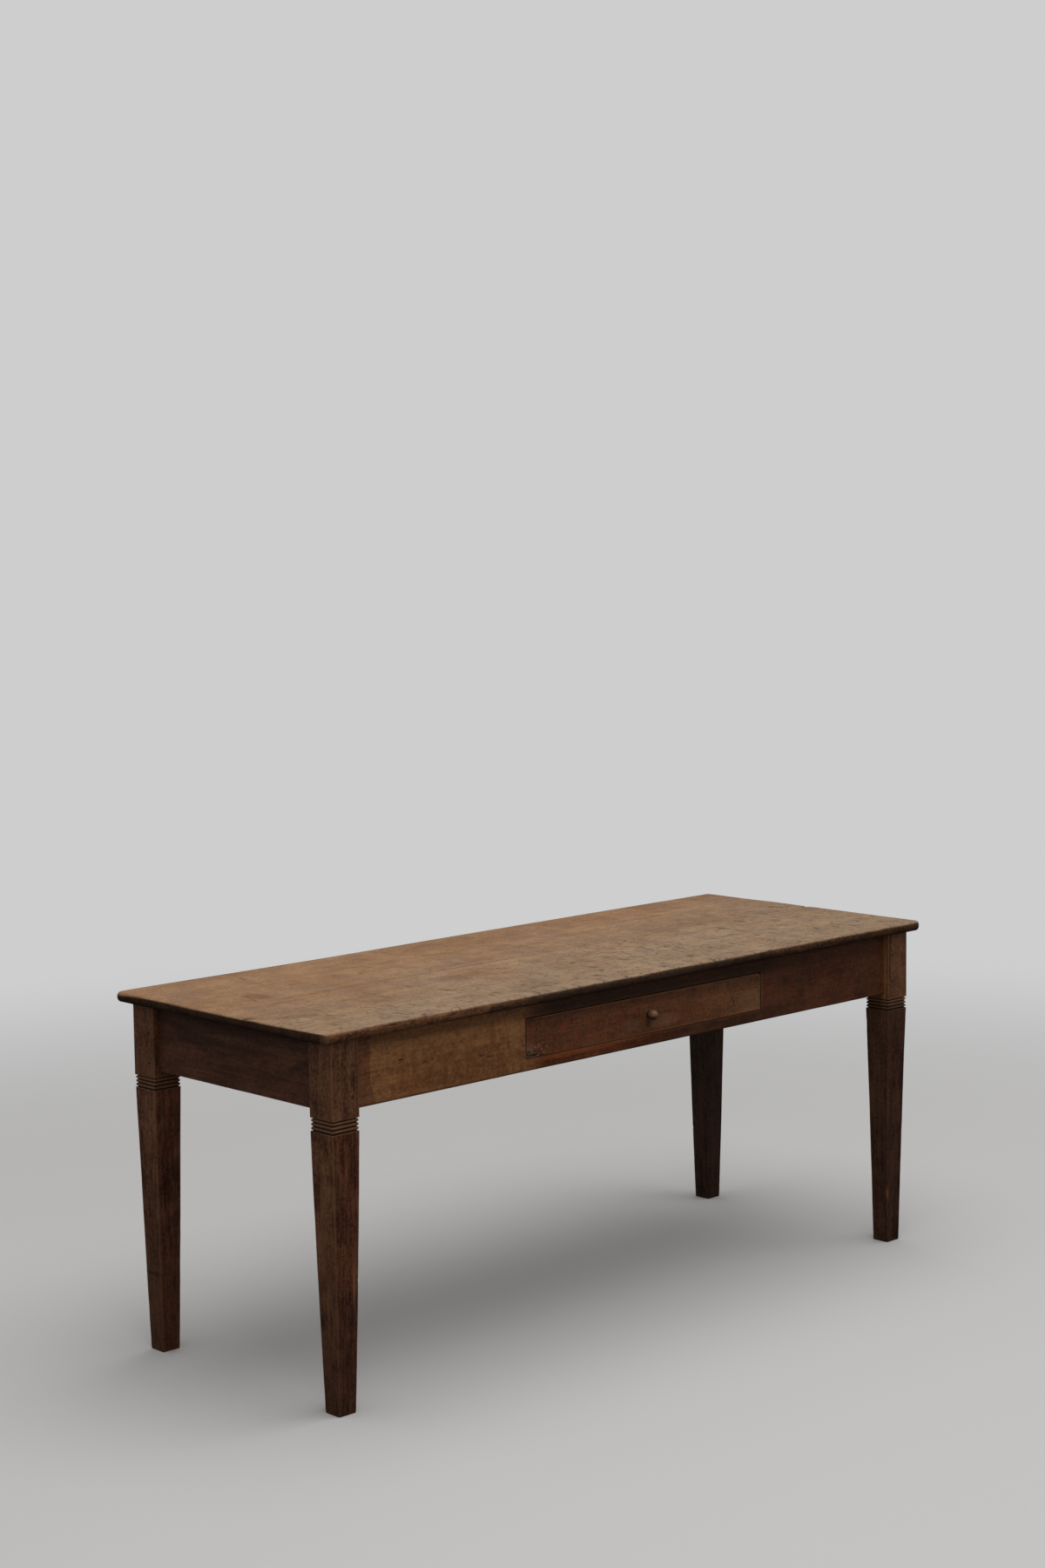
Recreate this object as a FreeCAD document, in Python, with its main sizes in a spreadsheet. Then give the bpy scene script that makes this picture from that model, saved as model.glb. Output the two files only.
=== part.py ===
import FreeCAD, Part
import math
import os
import re

import Sketcher
from FreeCAD import Placement, Rotation, Vector

# A long kitchen table with one drawer, in millimetres.
# +X runs along the table, the drawer faces -Y, +Z is up.
# The origin is on the floor, under the middle of the top.

X_WAY = Vector(1, 0, 0)
Y_WAY = Vector(0, 1, 0)
Z_WAY = Vector(0, 0, 1)
SAME_PLACE = 1e-6

# Driving sizes: name, value, what it is.
SIZES = (
    ("table_height", 755, "floor to the top face"),
    ("cut_overrun", 1, "how far a cutter runs past the wood"),
    ("fit_clearance", 0.2, "room around a glued tongue, tenon or fastener"),
    # The top
    ("top_length", 1800, "top, along the table"),
    ("top_width", 670, "top, across the table"),
    ("top_thickness", 22, "thickness of the top boards"),
    ("top_corner_radius", 18, "rounding of the top's corners in plan"),
    ("top_edge_radius", 8, "rounding of the top's upper and lower edges"),
    ("top_edge_share", 0.45, "most of the top's thickness that one rounding may take"),
    ("board_joint_offset", 11, "joint between the boards, behind the middle"),
    ("tongue_width", 24, "loose tongue, across the joint"),
    ("tongue_thickness", 7, "loose tongue, upwards"),
    ("tongue_stop", 45, "wood left beyond the tongue at each end"),
    ("end_overhang", 33, "top beyond the legs at each end"),
    ("side_overhang", 19, "top beyond the legs at front and back"),
    # The legs
    ("leg_square", 65.5, "leg block, side of its square"),
    ("shaft_square", 63.5, "tapered shaft at its upper end"),
    ("foot_square", 40, "tapered shaft at the floor"),
    ("leg_arris", 1.5, "rounding of the legs' long edges"),
    ("block_drop", 14, "leg block below the aprons"),
    ("reed_count", 3, "reeds in the band"),
    ("reed_height", 6, "one reed, upwards"),
    ("reed_inset", 1, "reed crests in from the block's faces"),
    ("reed_radius", 2.6, "rounding of a reed's edges"),
    ("reed_radius_share", 0.48, "most of a reed's height that one rounding may take"),
    ("groove_width", 1.8, "one groove between reeds, upwards"),
    ("groove_depth", 3.5, "groove floors in from the block's faces"),
    # The aprons and their joints
    ("apron_height", 140, "aprons, upwards"),
    ("apron_thickness", 24, "aprons, through"),
    ("apron_setback", 11.5, "apron faces in from the legs' faces"),
    ("tenon_thickness", 10, "tenons on the apron ends"),
    ("tenon_shoulder_low", 10, "apron edge below a tenon"),
    ("tenon_shoulder_high", 20, "apron edge above a tenon"),
    ("tenon_gap", 3, "wood between the two tenons in a leg"),
    ("peg_diameter", 8, "pegs through the tenons"),
    ("peg_length", 45, "peg inside the leg"),
    ("peg_proud", 0.4, "peg end standing out of the leg"),
    ("peg_from_shoulder", 15, "peg from the leg's inner face"),
    ("peg_rise", 17, "lower peg above the apron's lower edge"),
    ("peg_pitch", 62, "lower peg to upper peg"),
    ("peg_stagger", 11, "pegs of the long aprons above those of the short ones"),
    # The drawer
    ("drawer_offset", 10, "drawer's middle, right of the table's middle"),
    ("drawer_front_width", 714, "drawer front, along the table"),
    ("drawer_front_thickness", 20, "drawer front, through"),
    ("drawer_rear_room", 85, "drawer sides' ends to the back apron"),
    ("drawer_side_thickness", 12, "drawer sides, through"),
    ("drawer_side_drop", 8.4, "drawer sides below the drawer front's upper edge"),
    ("drawer_back_thickness", 12, "drawer back, through"),
    ("drawer_back_inset", 10, "drawer sides beyond the drawer back"),
    ("drawer_back_drop", 6, "drawer back below the sides' upper edges"),
    ("drawer_bottom_thickness", 8, "drawer bottom board"),
    ("drawer_bottom_rise", 8, "drawer bottom above the sides' lower edges"),
    ("bottom_groove_depth", 5, "groove that holds the drawer bottom"),
    ("housing_depth", 4, "housing in a drawer side for the drawer back"),
    ("drawer_reveal", 1.2, "gap all round the drawer front"),
    ("slide_clearance", 0.3, "gap between the drawer and what carries or stops it"),
    ("lower_rail", 24.5, "front apron under the drawer opening"),
    ("upper_rail", 31.6, "front apron over the drawer opening"),
    ("tail_count", 3, "dovetails on each drawer side"),
    ("tail_length", 14, "dovetails, into the drawer front"),
    ("tail_width_share", 0.61, "dovetail at its wide end, as a share of the dovetails' pitch"),
    ("tail_flare", 2.5, "dovetail's slope on each side"),
    # The knob
    ("knob_spigot", 10, "diameter of the spigot in the drawer front"),
    ("knob_collar", 15, "diameter of the collar on the drawer front"),
    ("knob_collar_thickness", 2.5, "collar, outwards"),
    ("knob_neck", 9, "diameter of the neck"),
    ("knob_ball", 20, "diameter of the ball"),
    ("knob_reach", 17, "drawer front's face to the ball's middle"),
    # What carries the drawer
    ("runner_height", 22, "runners, upwards"),
    ("runner_lip", 10, "runner showing inside the drawer side"),
    ("guide_width", 22, "guides, along the table"),
    ("guide_height", 20, "guides, upwards"),
    ("kicker_width", 30, "kickers, along the table"),
    ("kicker_gap", 5.6, "gap between the kickers and the top"),
    ("stub_length", 8, "stub tenons of runners and kickers"),
    ("stub_height_share", 0.45, "stub tenons, as a share of the rail's height"),
    ("stub_shoulder", 8, "shoulder on each side of a stub tenon"),
    ("stop_length", 30, "drawer stops, across the table"),
    ("stop_height", 18, "drawer stops, upwards"),
    ("nail_diameter", 2.4, "nails"),
    ("runner_nail_length", 34, "nails down into the runners"),
    ("bottom_nail_length", 24, "nails up into the drawer back"),
    # What holds the top down
    ("button_width", 32, "buttons, along the apron"),
    ("button_length", 40, "buttons, out from the apron"),
    ("button_thickness", 18, "buttons, upwards"),
    ("button_gap", 1.5, "gap between a button and the apron's face"),
    ("button_tongue", 9, "button's tongue, into the apron"),
    ("button_tongue_thickness", 8, "button's tongue, upwards"),
    ("button_play", 4, "room for a button at each end of its slot"),
    ("screw_diameter", 4, "button screws"),
    ("screw_length", 28, "button screws, with their heads"),
    ("screw_head_diameter", 8, "countersunk heads"),
    ("screw_head_height", 2.5, "countersunk heads, upwards"),
    ("end_button_share", 0.4, "end buttons, as a share of the way to the front legs"),
)

# Places and sizes that follow from the driving ones: name, formula.
PLACES = (
    ("top_underside", "table_height - top_thickness"),
    ("top_middle", "table_height - top_thickness / 2"),
    ("leg_outer_x", "top_length / 2 - end_overhang"),
    ("leg_outer_y", "top_width / 2 - side_overhang"),
    ("leg_inner_x", "leg_outer_x - leg_square"),
    ("leg_inner_y", "leg_outer_y - leg_square"),
    ("leg_middle_x", "leg_outer_x - leg_square / 2"),
    ("leg_middle_y", "leg_outer_y - leg_square / 2"),
    ("apron_bottom", "top_underside - apron_height"),
    ("block_bottom", "apron_bottom - block_drop"),
    ("reed_pitch", "reed_height + groove_width"),
    ("shaft_top", "block_bottom - reed_count * reed_pitch - groove_width"),
    ("apron_face_x", "leg_outer_x - apron_setback"),
    ("apron_face_y", "leg_outer_y - apron_setback"),
    ("apron_inner_x", "apron_face_x - apron_thickness"),
    ("apron_inner_y", "apron_face_y - apron_thickness"),
    ("tenon_cheek", "(apron_thickness - tenon_thickness) / 2"),
    ("tenon_length", "leg_square - apron_setback - tenon_cheek - tenon_thickness - tenon_gap"),
    ("tenon_low", "apron_bottom + tenon_shoulder_low"),
    ("tenon_high", "top_underside - tenon_shoulder_high"),
    ("short_peg_low", "apron_bottom + peg_rise"),
    ("long_peg_low", "short_peg_low + peg_stagger"),
    ("opening_low", "apron_bottom + lower_rail"),
    ("opening_high", "top_underside - upper_rail"),
    ("drawer_left", "drawer_offset - drawer_front_width / 2"),
    ("drawer_right", "drawer_offset + drawer_front_width / 2"),
    ("opening_left", "drawer_left - drawer_reveal"),
    ("opening_right", "drawer_right + drawer_reveal"),
    ("front_face", "-apron_face_y"),
    ("front_rear", "front_face + drawer_front_thickness"),
    ("front_low", "opening_low + drawer_reveal"),
    ("front_high", "opening_high - drawer_reveal"),
    ("front_middle", "(front_low + front_high) / 2"),
    ("drawer_end", "apron_inner_y - drawer_rear_room"),
    ("side_inner", "drawer_left + drawer_side_thickness"),
    ("side_low", "opening_low + slide_clearance"),
    ("side_high", "front_high - drawer_side_drop"),
    ("tail_pitch", "(side_high - side_low) / tail_count"),
    ("tail_width", "tail_pitch * tail_width_share"),
    ("tail_front", "front_rear - tail_length"),
    ("bottom_low", "side_low + drawer_bottom_rise"),
    ("bottom_high", "bottom_low + drawer_bottom_thickness"),
    ("back_rear", "drawer_end - drawer_back_inset"),
    ("back_fore", "back_rear - drawer_back_thickness"),
    ("runner_outer", "opening_left - guide_width"),
    ("runner_inner", "side_inner + runner_lip"),
    ("runner_low", "opening_low - runner_height"),
    ("kicker_outer", "drawer_left + drawer_side_thickness / 2 - kicker_width / 2"),
    ("kicker_height", "upper_rail - kicker_gap"),
    ("stub_end", "apron_inner_y + stub_length"),
    ("stop_fore", "drawer_end + slide_clearance"),
    ("guide_top", "opening_low + guide_height"),
    ("stop_top", "opening_low + stop_height"),
)

GUIDE_NAIL_SHARES = (-0.7, 0.0, 0.7)
BOTTOM_NAIL_SHARES = (-0.75, -0.25, 0.25, 0.75)

# The corners in the order of a back right piece and its twins.
CORNERS = ("back_right", "back_left", "front_right", "front_left")

# Quarter turns that carry a button's own frame to each apron.
BUTTON_TURNS = {"left": 0, "front": 90, "right": 180, "back": 270}

# The buttons: name, apron, place along that apron.
BUTTONS = (
    ("button_front_left", "front", "(opening_left - leg_inner_x) / 2"),
    ("button_front_right", "front", "(opening_right + leg_inner_x) / 2"),
    ("button_back_left", "back", "(opening_left - leg_inner_x) / 2"),
    ("button_back_middle", "back", "0"),
    ("button_back_right", "back", "(opening_right + leg_inner_x) / 2"),
    ("button_end_left", "left", "-end_button_share * leg_inner_y"),
    ("button_end_right", "right", "-end_button_share * leg_inner_y"),
)

doc = FreeCAD.newDocument("kitchen_table")
sheet_of = {}
finished = []


def formula(words, inside=None):
    """Spell the plain names in a formula as cells of the two sheets."""
    def cell(match):
        name = match.group()
        sheet = sheet_of.get(name, inside)
        return name if sheet == inside else f"{sheet}.{name}"
    return re.sub(r"[a-z_]+", cell, words)


def write_sheet(name, rows):
    """Make one sheet of named cells: words in column A, the value in column B."""
    sheet = doc.addObject("Spreadsheet::Sheet", name)
    for row, (alias, content, words) in enumerate(rows, start=1):
        sheet.set(f"A{row}", words)
        sheet.set(f"B{row}", content)
        sheet.setAlias(f"B{row}", alias)
        sheet_of[alias] = name
    doc.recompute()
    return sheet


def bind(thing, **formulas):
    """Tie properties of an object to formulas."""
    for name, words in formulas.items():
        thing.setExpression(name, formula(words))


def place(thing, x, y, z):
    """Tie the place of an object to one formula for each axis."""
    for axis, words in zip("xyz", (x, y, z)):
        thing.setExpression(f"Placement.Base.{axis}", formula(words))
    return thing


def box(name, x, y, z):
    """A block of wood or a square cutter, from a low to a high formula on each axis."""
    block = doc.addObject("Part::Box", name)
    for size, (low, high) in zip(("Length", "Width", "Height"), (x, y, z)):
        block.setExpression(size, formula(f"({high}) - ({low})"))
    return place(block, x[0], y[0], z[0])


def rod(name, diameter, length, way, start):
    """A round peg, nail or drill that runs a length from its start."""
    piece = doc.addObject("Part::Cylinder", name)
    bind(piece, Radius=f"({diameter}) / 2", Height=length)
    piece.Placement = Placement(Vector(), Rotation(Z_WAY, way))
    return place(piece, *start)


def fuse(name, *pieces):
    """Pieces joined into one."""
    joined = doc.addObject("Part::MultiFuse", name)
    joined.Shapes = list(pieces)
    joined.Refine = True
    return joined


def cut(name, piece, *cutters):
    """A piece with the cutters' room taken out of it."""
    result = doc.addObject("Part::Cut", name)
    result.Base = piece
    result.Tool = cutters[0] if len(cutters) == 1 else fuse(f"{name}_cutters", *cutters)
    result.Refine = True
    return result


def group(name, *pieces):
    """Separate pieces kept together."""
    together = doc.addObject("Part::Compound", name)
    together.Links = list(pieces)
    return together


def mirror(name, source, way, plane="0"):
    """The twin of a piece across a plane square to one axis."""
    twin = doc.addObject("Part::Mirroring", name)
    twin.Source = source
    twin.Normal = way
    axis = "x" if way == X_WAY else "y"
    twin.setExpression(f"Base.{axis}", formula(plane))
    return twin


def finish(label, thing):
    """Name a finished piece of the table."""
    thing.Label = label
    finished.append(thing)
    return thing


def both(middle, half):
    """The low and high formula of a span that is centred on a middle."""
    return f"({middle}) - ({half})", f"({middle}) + ({half})"


def round_edges(name, piece, radius, wanted):
    """Round the edges of a piece that the test picks out."""
    doc.recompute()
    rounded = doc.addObject("Part::Fillet", name)
    rounded.Base = piece
    edges = enumerate(piece.Shape.Edges, start=1)
    rounded.Edges = [(number, radius, radius) for number, edge in edges if wanted(edge)]
    return rounded


def is_level(edge):
    """Whether an edge stays at one height."""
    return edge.BoundBox.ZLength < SAME_PLACE


def is_upright(edge):
    """Whether an edge climbs straight up."""
    return edge.BoundBox.XLength < SAME_PLACE and edge.BoundBox.YLength < SAME_PLACE


def outline_sketch(body, name, length, width, corner):
    """A rectangle on the body's level plane, its first corner at a place given by formulas."""
    level = next(plane for plane in body.Origin.OriginFeatures if plane.Role == "XY_Plane")
    sketch = body.newObject("Sketcher::SketchObject", name)
    sketch.AttachmentSupport = [(level, "")]
    sketch.MapMode = "FlatFace"
    for axis, words in zip("xyz", corner):
        sketch.setExpression(f"AttachmentOffset.Base.{axis}", formula(words))
    corners = [Vector(0, 0), Vector(1, 0), Vector(1, 1), Vector(0, 1)]
    for start, end in zip(corners, corners[1:] + corners[:1]):
        sketch.addGeometry(Part.LineSegment(start, end))
    for line in range(len(corners)):
        sketch.addConstraint(Sketcher.Constraint("Coincident", line, 2, (line + 1) % len(corners), 1))
        sketch.addConstraint(Sketcher.Constraint("Vertical" if line % 2 else "Horizontal", line))
    sketch.addConstraint(Sketcher.Constraint("Coincident", 0, 1, -1, 1))
    for line, kind, words in ((0, "DistanceX", length), (1, "DistanceY", width)):
        number = sketch.addConstraint(Sketcher.Constraint(kind, line, 1, line, 2, 1))
        sketch.setExpression(f"Constraints[{number}]", formula(words))
    return sketch


def rounded_by(body, name, base, radius, wanted):
    """A rounding feature on the edges of the body's last feature that the test picks out."""
    doc.recompute()
    feature = body.newObject("PartDesign::Fillet", name)
    edges = enumerate(base.Shape.Edges, start=1)
    feature.Base = (base, [f"Edge{number}" for number, edge in edges if wanted(edge)])
    bind(feature, Radius=radius)
    return feature


def make_top_board(label, low, high, outer, cutters):
    """One board of the top, rounded on the three sides away from the joint."""
    body = doc.addObject("PartDesign::Body", f"{label}_blank")
    corner = ("-top_length / 2", low, "top_underside")
    sketch = outline_sketch(body, f"{label}_outline", "top_length", f"({high}) - ({low})", corner)
    pad = body.newObject("PartDesign::Pad", f"{label}_pad")
    pad.Profile = sketch
    bind(pad, Length="top_thickness")
    joint = size.get("board_joint_offset")

    def at_joint(edge):
        return edge.BoundBox.YLength < SAME_PLACE and abs(edge.BoundBox.YMin - joint) < SAME_PLACE

    corners = rounded_by(body, f"{label}_corners", pad, "top_corner_radius",
                         lambda edge: is_upright(edge) and not at_joint(edge))
    rounded_by(body, f"{label}_edges", corners, "min(top_edge_radius, top_thickness * top_edge_share)",
               lambda edge: is_level(edge) and not at_joint(edge))
    return finish(label, cut(f"{label}_worked", body, *cutters[outer]))


def make_tongue():
    """The loose tongue that joins the top boards, and the groove for it."""
    along = both("0", "top_length / 2 - tongue_stop")
    across = both("board_joint_offset", "tongue_width / 2")
    upward = both("top_middle", "tongue_thickness / 2")
    finish("top_tongue", box("tongue", along, across, upward))
    along = both("0", "top_length / 2 - tongue_stop + fit_clearance")
    across = both("board_joint_offset", "tongue_width / 2 + fit_clearance")
    upward = both("top_middle", "tongue_thickness / 2 + fit_clearance")
    return box("tongue_groove", along, across, upward)


def make_leg_blank():
    """The back right leg before its joints are cut: block, band of reeds, tapered shaft."""
    arris = size.get("leg_arris")
    reed_radius = min(size.get("reed_radius"), size.get("reed_height") * size.get("reed_radius_share"))
    block = box("leg_block", ("leg_inner_x", "leg_outer_x"), ("leg_inner_y", "leg_outer_y"),
                ("block_bottom", "top_underside"))
    half_core = "leg_square / 2 - groove_depth"
    core = box("reed_core", both("leg_middle_x", half_core), both("leg_middle_y", half_core),
               ("shaft_top", "block_bottom"))
    half_reed = "leg_square / 2 - reed_inset"
    reeds = []
    for number in range(int(size.get("reed_count"))):
        low = f"shaft_top + groove_width + {number} * reed_pitch"
        reed = box(f"reed_{number}", both("leg_middle_x", half_reed), both("leg_middle_y", half_reed),
                   (low, f"{low} + reed_height"))
        reeds.append(round_edges(f"round_reed_{number}", reed, reed_radius, is_level))
    shaft = doc.addObject("Part::Wedge", "leg_shaft")
    bind(shaft, Ymin="0", Ymax="shaft_top")
    for axis in "XZ":
        bind(shaft, **{f"{axis}min": "-foot_square / 2", f"{axis}max": "foot_square / 2",
                       f"{axis}2min": "-shaft_square / 2", f"{axis}2max": "shaft_square / 2"})
    shaft.Placement = Placement(Vector(), Rotation(Y_WAY, Z_WAY))
    place(shaft, "leg_middle_x", "leg_middle_y", "0")
    round_block = round_edges("round_block", block, arris, is_upright)
    round_shaft = round_edges("round_shaft", shaft, arris, lambda edge: not is_level(edge))
    return fuse("leg_blank", round_block, core, round_shaft, *reeds)


def make_pegs(name, slack):
    """The back right leg's pegs, or their holes: two along Y and two along X."""
    diameter = f"peg_diameter + 2 * ({slack})"
    length = f"peg_length + peg_proud + {slack}"
    pegs = []
    for number in range(2):
        rise = f"{number} * peg_pitch"
        start = ("leg_inner_x + peg_from_shoulder", "leg_outer_y + peg_proud", f"long_peg_low + {rise}")
        pegs.append(rod(f"{name}_long_{number}", diameter, length, -Y_WAY, start))
        start = ("leg_outer_x + peg_proud", "leg_inner_y + peg_from_shoulder", f"short_peg_low + {rise}")
        pegs.append(rod(f"{name}_short_{number}", diameter, length, -X_WAY, start))
    return group(name, *pegs)


def to_corners(label, thing, way_names):
    """Finish a back right piece and its twins at the other three corners."""
    left = mirror(f"{label}_left_twin", thing, X_WAY)
    front = mirror(f"{label}_front_twin", thing, Y_WAY)
    both_ways = mirror(f"{label}_far_twin", left, Y_WAY)
    for where, piece in zip(way_names, (thing, left, front, both_ways)):
        finish(f"{label}_{where}", piece)


def make_legs(peg_holes):
    """The four legs, each with two mortises and its peg holes."""
    upward = ("tenon_low - fit_clearance", "tenon_high + fit_clearance")
    middle_x = "(apron_face_x + apron_inner_x) / 2"
    middle_y = "(apron_face_y + apron_inner_y) / 2"
    half = "tenon_thickness / 2 + fit_clearance"
    depth_x = ("leg_inner_x - cut_overrun", "leg_inner_x + tenon_length + fit_clearance")
    depth_y = ("leg_inner_y - cut_overrun", "leg_inner_y + tenon_length + fit_clearance")
    long_mortise = box("long_mortise", depth_x, both(middle_y, half), upward)
    short_mortise = box("short_mortise", both(middle_x, half), depth_y, upward)
    leg = cut("leg_worked", make_leg_blank(), long_mortise, short_mortise, peg_holes)
    to_corners("leg", leg, CORNERS)


def make_apron(name, x, y, tenon_x, tenon_y):
    """An apron board with a tenon on each end."""
    board = box(f"{name}_board", x, y, ("apron_bottom", "top_underside"))
    tenons = box(f"{name}_tenons", tenon_x, tenon_y, ("tenon_low", "tenon_high"))
    return fuse(f"{name}_blank", board, tenons)


def make_aprons(peg_holes, slots):
    """The four aprons: slotted for the buttons, holed for the pegs, the front one open for the drawer."""
    holes_left = mirror("peg_holes_left", peg_holes, X_WAY)
    holes_front = mirror("peg_holes_front", peg_holes, Y_WAY)
    holes_far = mirror("peg_holes_far", holes_left, Y_WAY)
    long_x = both("0", "leg_inner_x")
    long_tenon_x = both("0", "leg_inner_x + tenon_length")
    stubs = make_stub_mortises()
    stubs_front = mirror("stub_mortises_front", stubs, Y_WAY)

    back = make_apron("back_apron", long_x, ("apron_inner_y", "apron_face_y"), long_tenon_x,
                      ("apron_inner_y + tenon_cheek", "apron_face_y - tenon_cheek"))
    finish("apron_back", cut("back_apron_worked", back, stubs, peg_holes, holes_left, *slots["back"]))

    front = make_apron("front_apron", long_x, ("-apron_face_y", "-apron_inner_y"), long_tenon_x,
                       ("-apron_face_y + tenon_cheek", "-apron_inner_y - tenon_cheek"))
    opening = box("drawer_opening", ("opening_left", "opening_right"),
                  ("-apron_face_y - cut_overrun", "-apron_inner_y + cut_overrun"),
                  ("opening_low", "opening_high"))
    finish("apron_front", cut("front_apron_worked", front, opening, stubs_front, holes_front, holes_far,
                              *slots["front"]))

    short_y = both("0", "leg_inner_y")
    short_tenon_y = both("0", "leg_inner_y + tenon_length")
    right = make_apron("right_apron", ("apron_inner_x", "apron_face_x"), short_y,
                       ("apron_inner_x + tenon_cheek", "apron_face_x - tenon_cheek"), short_tenon_y)
    finish("apron_right", cut("right_apron_worked", right, peg_holes, holes_front, *slots["right"]))
    left = make_apron("left_apron", ("-apron_face_x", "-apron_inner_x"), short_y,
                      ("-apron_face_x + tenon_cheek", "-apron_inner_x - tenon_cheek"), short_tenon_y)
    finish("apron_left", cut("left_apron_worked", left, holes_left, holes_far, *slots["left"]))


def make_stub_mortises():
    """Mortises in the back apron for the stub tenons of both runners and both kickers."""
    mortises = []
    depth = ("apron_inner_y - cut_overrun", "stub_end + fit_clearance")
    for name, left, right, low, height in (
            ("runner", "runner_outer", "runner_inner", "runner_low", "runner_height"),
            ("kicker", "kicker_outer", "kicker_outer + kicker_width", "opening_high", "kicker_height")):
        across = (f"{left} + stub_shoulder - fit_clearance", f"{right} - stub_shoulder + fit_clearance")
        upward = both(f"{low} + {height} / 2", f"{height} * stub_height_share / 2 + fit_clearance")
        mortise = box(f"{name}_mortise", across, depth, upward)
        mortises += [mortise, mirror(f"{name}_mortise_twin", mortise, X_WAY, "drawer_offset")]
    return group("stub_mortises", *mortises)


def make_rail(name, left, right, low, height):
    """A rail across the table from apron to apron, with a stub tenon on each end."""
    rail = box(f"{name}_rail", (left, right), both("0", "apron_inner_y"), (low, f"{low} + {height}"))
    stubs = box(f"{name}_stubs", (f"{left} + stub_shoulder", f"{right} - stub_shoulder"),
                both("0", "stub_end"), both(f"{low} + {height} / 2", f"{height} * stub_height_share / 2"))
    return fuse(f"{name}_blank", rail, stubs)


def make_runner_nails(name, slack):
    """Nails, or their holes, that hold the left guide and the left stop on the left runner."""
    diameter = f"nail_diameter + 2 * ({slack})"
    length = f"runner_nail_length + {slack}"
    spots = [("opening_left - guide_width / 2", f"{share} * apron_inner_y", "guide_top")
             for share in GUIDE_NAIL_SHARES]
    spots.append(("(drawer_left + runner_inner) / 2", "stop_fore + stop_length / 2", "stop_top"))
    nails = [rod(f"{name}_{number}", diameter, length, -Z_WAY, spot) for number, spot in enumerate(spots)]
    return group(name, *nails)


def make_carriage():
    """Runners, guides, kickers and stops: the left ones, and their twins across the drawer's middle."""
    holes = make_runner_nails("runner_nail_holes", "fit_clearance")
    runner = make_rail("runner", "runner_outer", "runner_inner", "runner_low", "runner_height")
    guide = box("guide", ("runner_outer", "opening_left"), both("0", "apron_inner_y"),
                ("opening_low", "guide_top"))
    stop = box("stop", ("drawer_left", "runner_inner"), ("stop_fore", "stop_fore + stop_length"),
               ("opening_low", "stop_top"))
    lefts = {
        "runner": cut("runner_worked", runner, holes),
        "guide": cut("guide_worked", guide, holes),
        "stop": cut("stop_worked", stop, holes),
        "kicker": make_rail("kicker", "kicker_outer", "kicker_outer + kicker_width", "opening_high",
                            "kicker_height"),
    }
    for name, piece in lefts.items():
        finish(f"drawer_{name}_left", piece)
        finish(f"drawer_{name}_right", mirror(f"{name}_twin", piece, X_WAY, "drawer_offset"))
    nails = make_runner_nails("runner_nails_near", "0")
    far_nails = mirror("runner_nails_far", nails, X_WAY, "drawer_offset")
    finish("runner_nails", group("nails_in_runners", nails, far_nails))


def make_tails(name, x, slack):
    """Dovetails of the left drawer side, or the sockets for them."""
    tails = []
    for number in range(int(size.get("tail_count"))):
        middle = f"side_low + ({number} + 1 / 2) * tail_pitch"
        tail = doc.addObject("Part::Wedge", f"{name}_{number}")
        bind(tail, Xmin=x[0], Xmax=x[1], X2min=x[0], X2max=x[1])
        bind(tail, Ymin=f"tail_front - {slack}", Ymax="front_rear")
        wide = both(middle, f"tail_width / 2 + {slack}")
        narrow = both(middle, f"tail_width / 2 - tail_flare + {slack}")
        bind(tail, Zmin=wide[0], Zmax=wide[1], Z2min=narrow[0], Z2max=narrow[1])
        tails.append(tail)
    return tails


def make_drawer_front():
    """The drawer front, with dovetail sockets, a groove for the bottom and a hole for the knob."""
    board = box("front_board", ("drawer_left", "drawer_right"), ("front_face", "front_rear"),
                ("front_low", "front_high"))
    across = ("drawer_left - cut_overrun", "side_inner + fit_clearance")
    sockets = group("sockets", *make_tails("socket", across, "fit_clearance"))
    sockets_right = mirror("sockets_right", sockets, X_WAY, "drawer_offset")
    groove = box("front_groove", both("drawer_offset", "drawer_front_width / 2 - drawer_side_thickness"),
                 ("front_rear - bottom_groove_depth - fit_clearance", "front_rear + cut_overrun"),
                 ("bottom_low - fit_clearance", "bottom_high + fit_clearance"))
    knob_hole = rod("knob_hole", "knob_spigot + 2 * fit_clearance",
                    "drawer_front_thickness + 2 * cut_overrun", Y_WAY,
                    ("drawer_offset", "front_face - cut_overrun", "front_middle"))
    finish("drawer_front", cut("front_worked", board, sockets, sockets_right, groove, knob_hole))


def make_drawer_sides():
    """The drawer sides, dovetailed at the front, grooved for the bottom and housed for the back."""
    across = ("drawer_left", "side_inner")
    board = box("side_board", across, ("front_rear", "drawer_end"), ("side_low", "side_high"))
    blank = fuse("side_blank", board, *make_tails("tail", across, "0"))
    past_face = "side_inner + cut_overrun"
    groove = box("side_groove", ("side_inner - bottom_groove_depth - fit_clearance", past_face),
                 ("front_rear", "drawer_end + cut_overrun"),
                 ("bottom_low - fit_clearance", "bottom_high + fit_clearance"))
    housing = box("side_housing", ("side_inner - housing_depth - fit_clearance", past_face),
                  ("back_fore - fit_clearance", "back_rear + fit_clearance"),
                  ("bottom_low", "side_high + cut_overrun"))
    left = cut("side_worked", blank, groove, housing)
    finish("drawer_side_left", left)
    finish("drawer_side_right", mirror("side_twin", left, X_WAY, "drawer_offset"))


def make_bottom_nails(name, slack):
    """Nails, or their holes, that hold the drawer bottom to the drawer back."""
    diameter = f"nail_diameter + 2 * ({slack})"
    length = f"bottom_nail_length + {slack}"
    nails = []
    for number, share in enumerate(BOTTOM_NAIL_SHARES):
        along = f"drawer_offset + {share} * drawer_front_width / 2"
        start = (along, "(back_fore + back_rear) / 2", "bottom_low")
        nails.append(rod(f"{name}_{number}", diameter, length, Z_WAY, start))
    return group(name, *nails)


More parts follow.
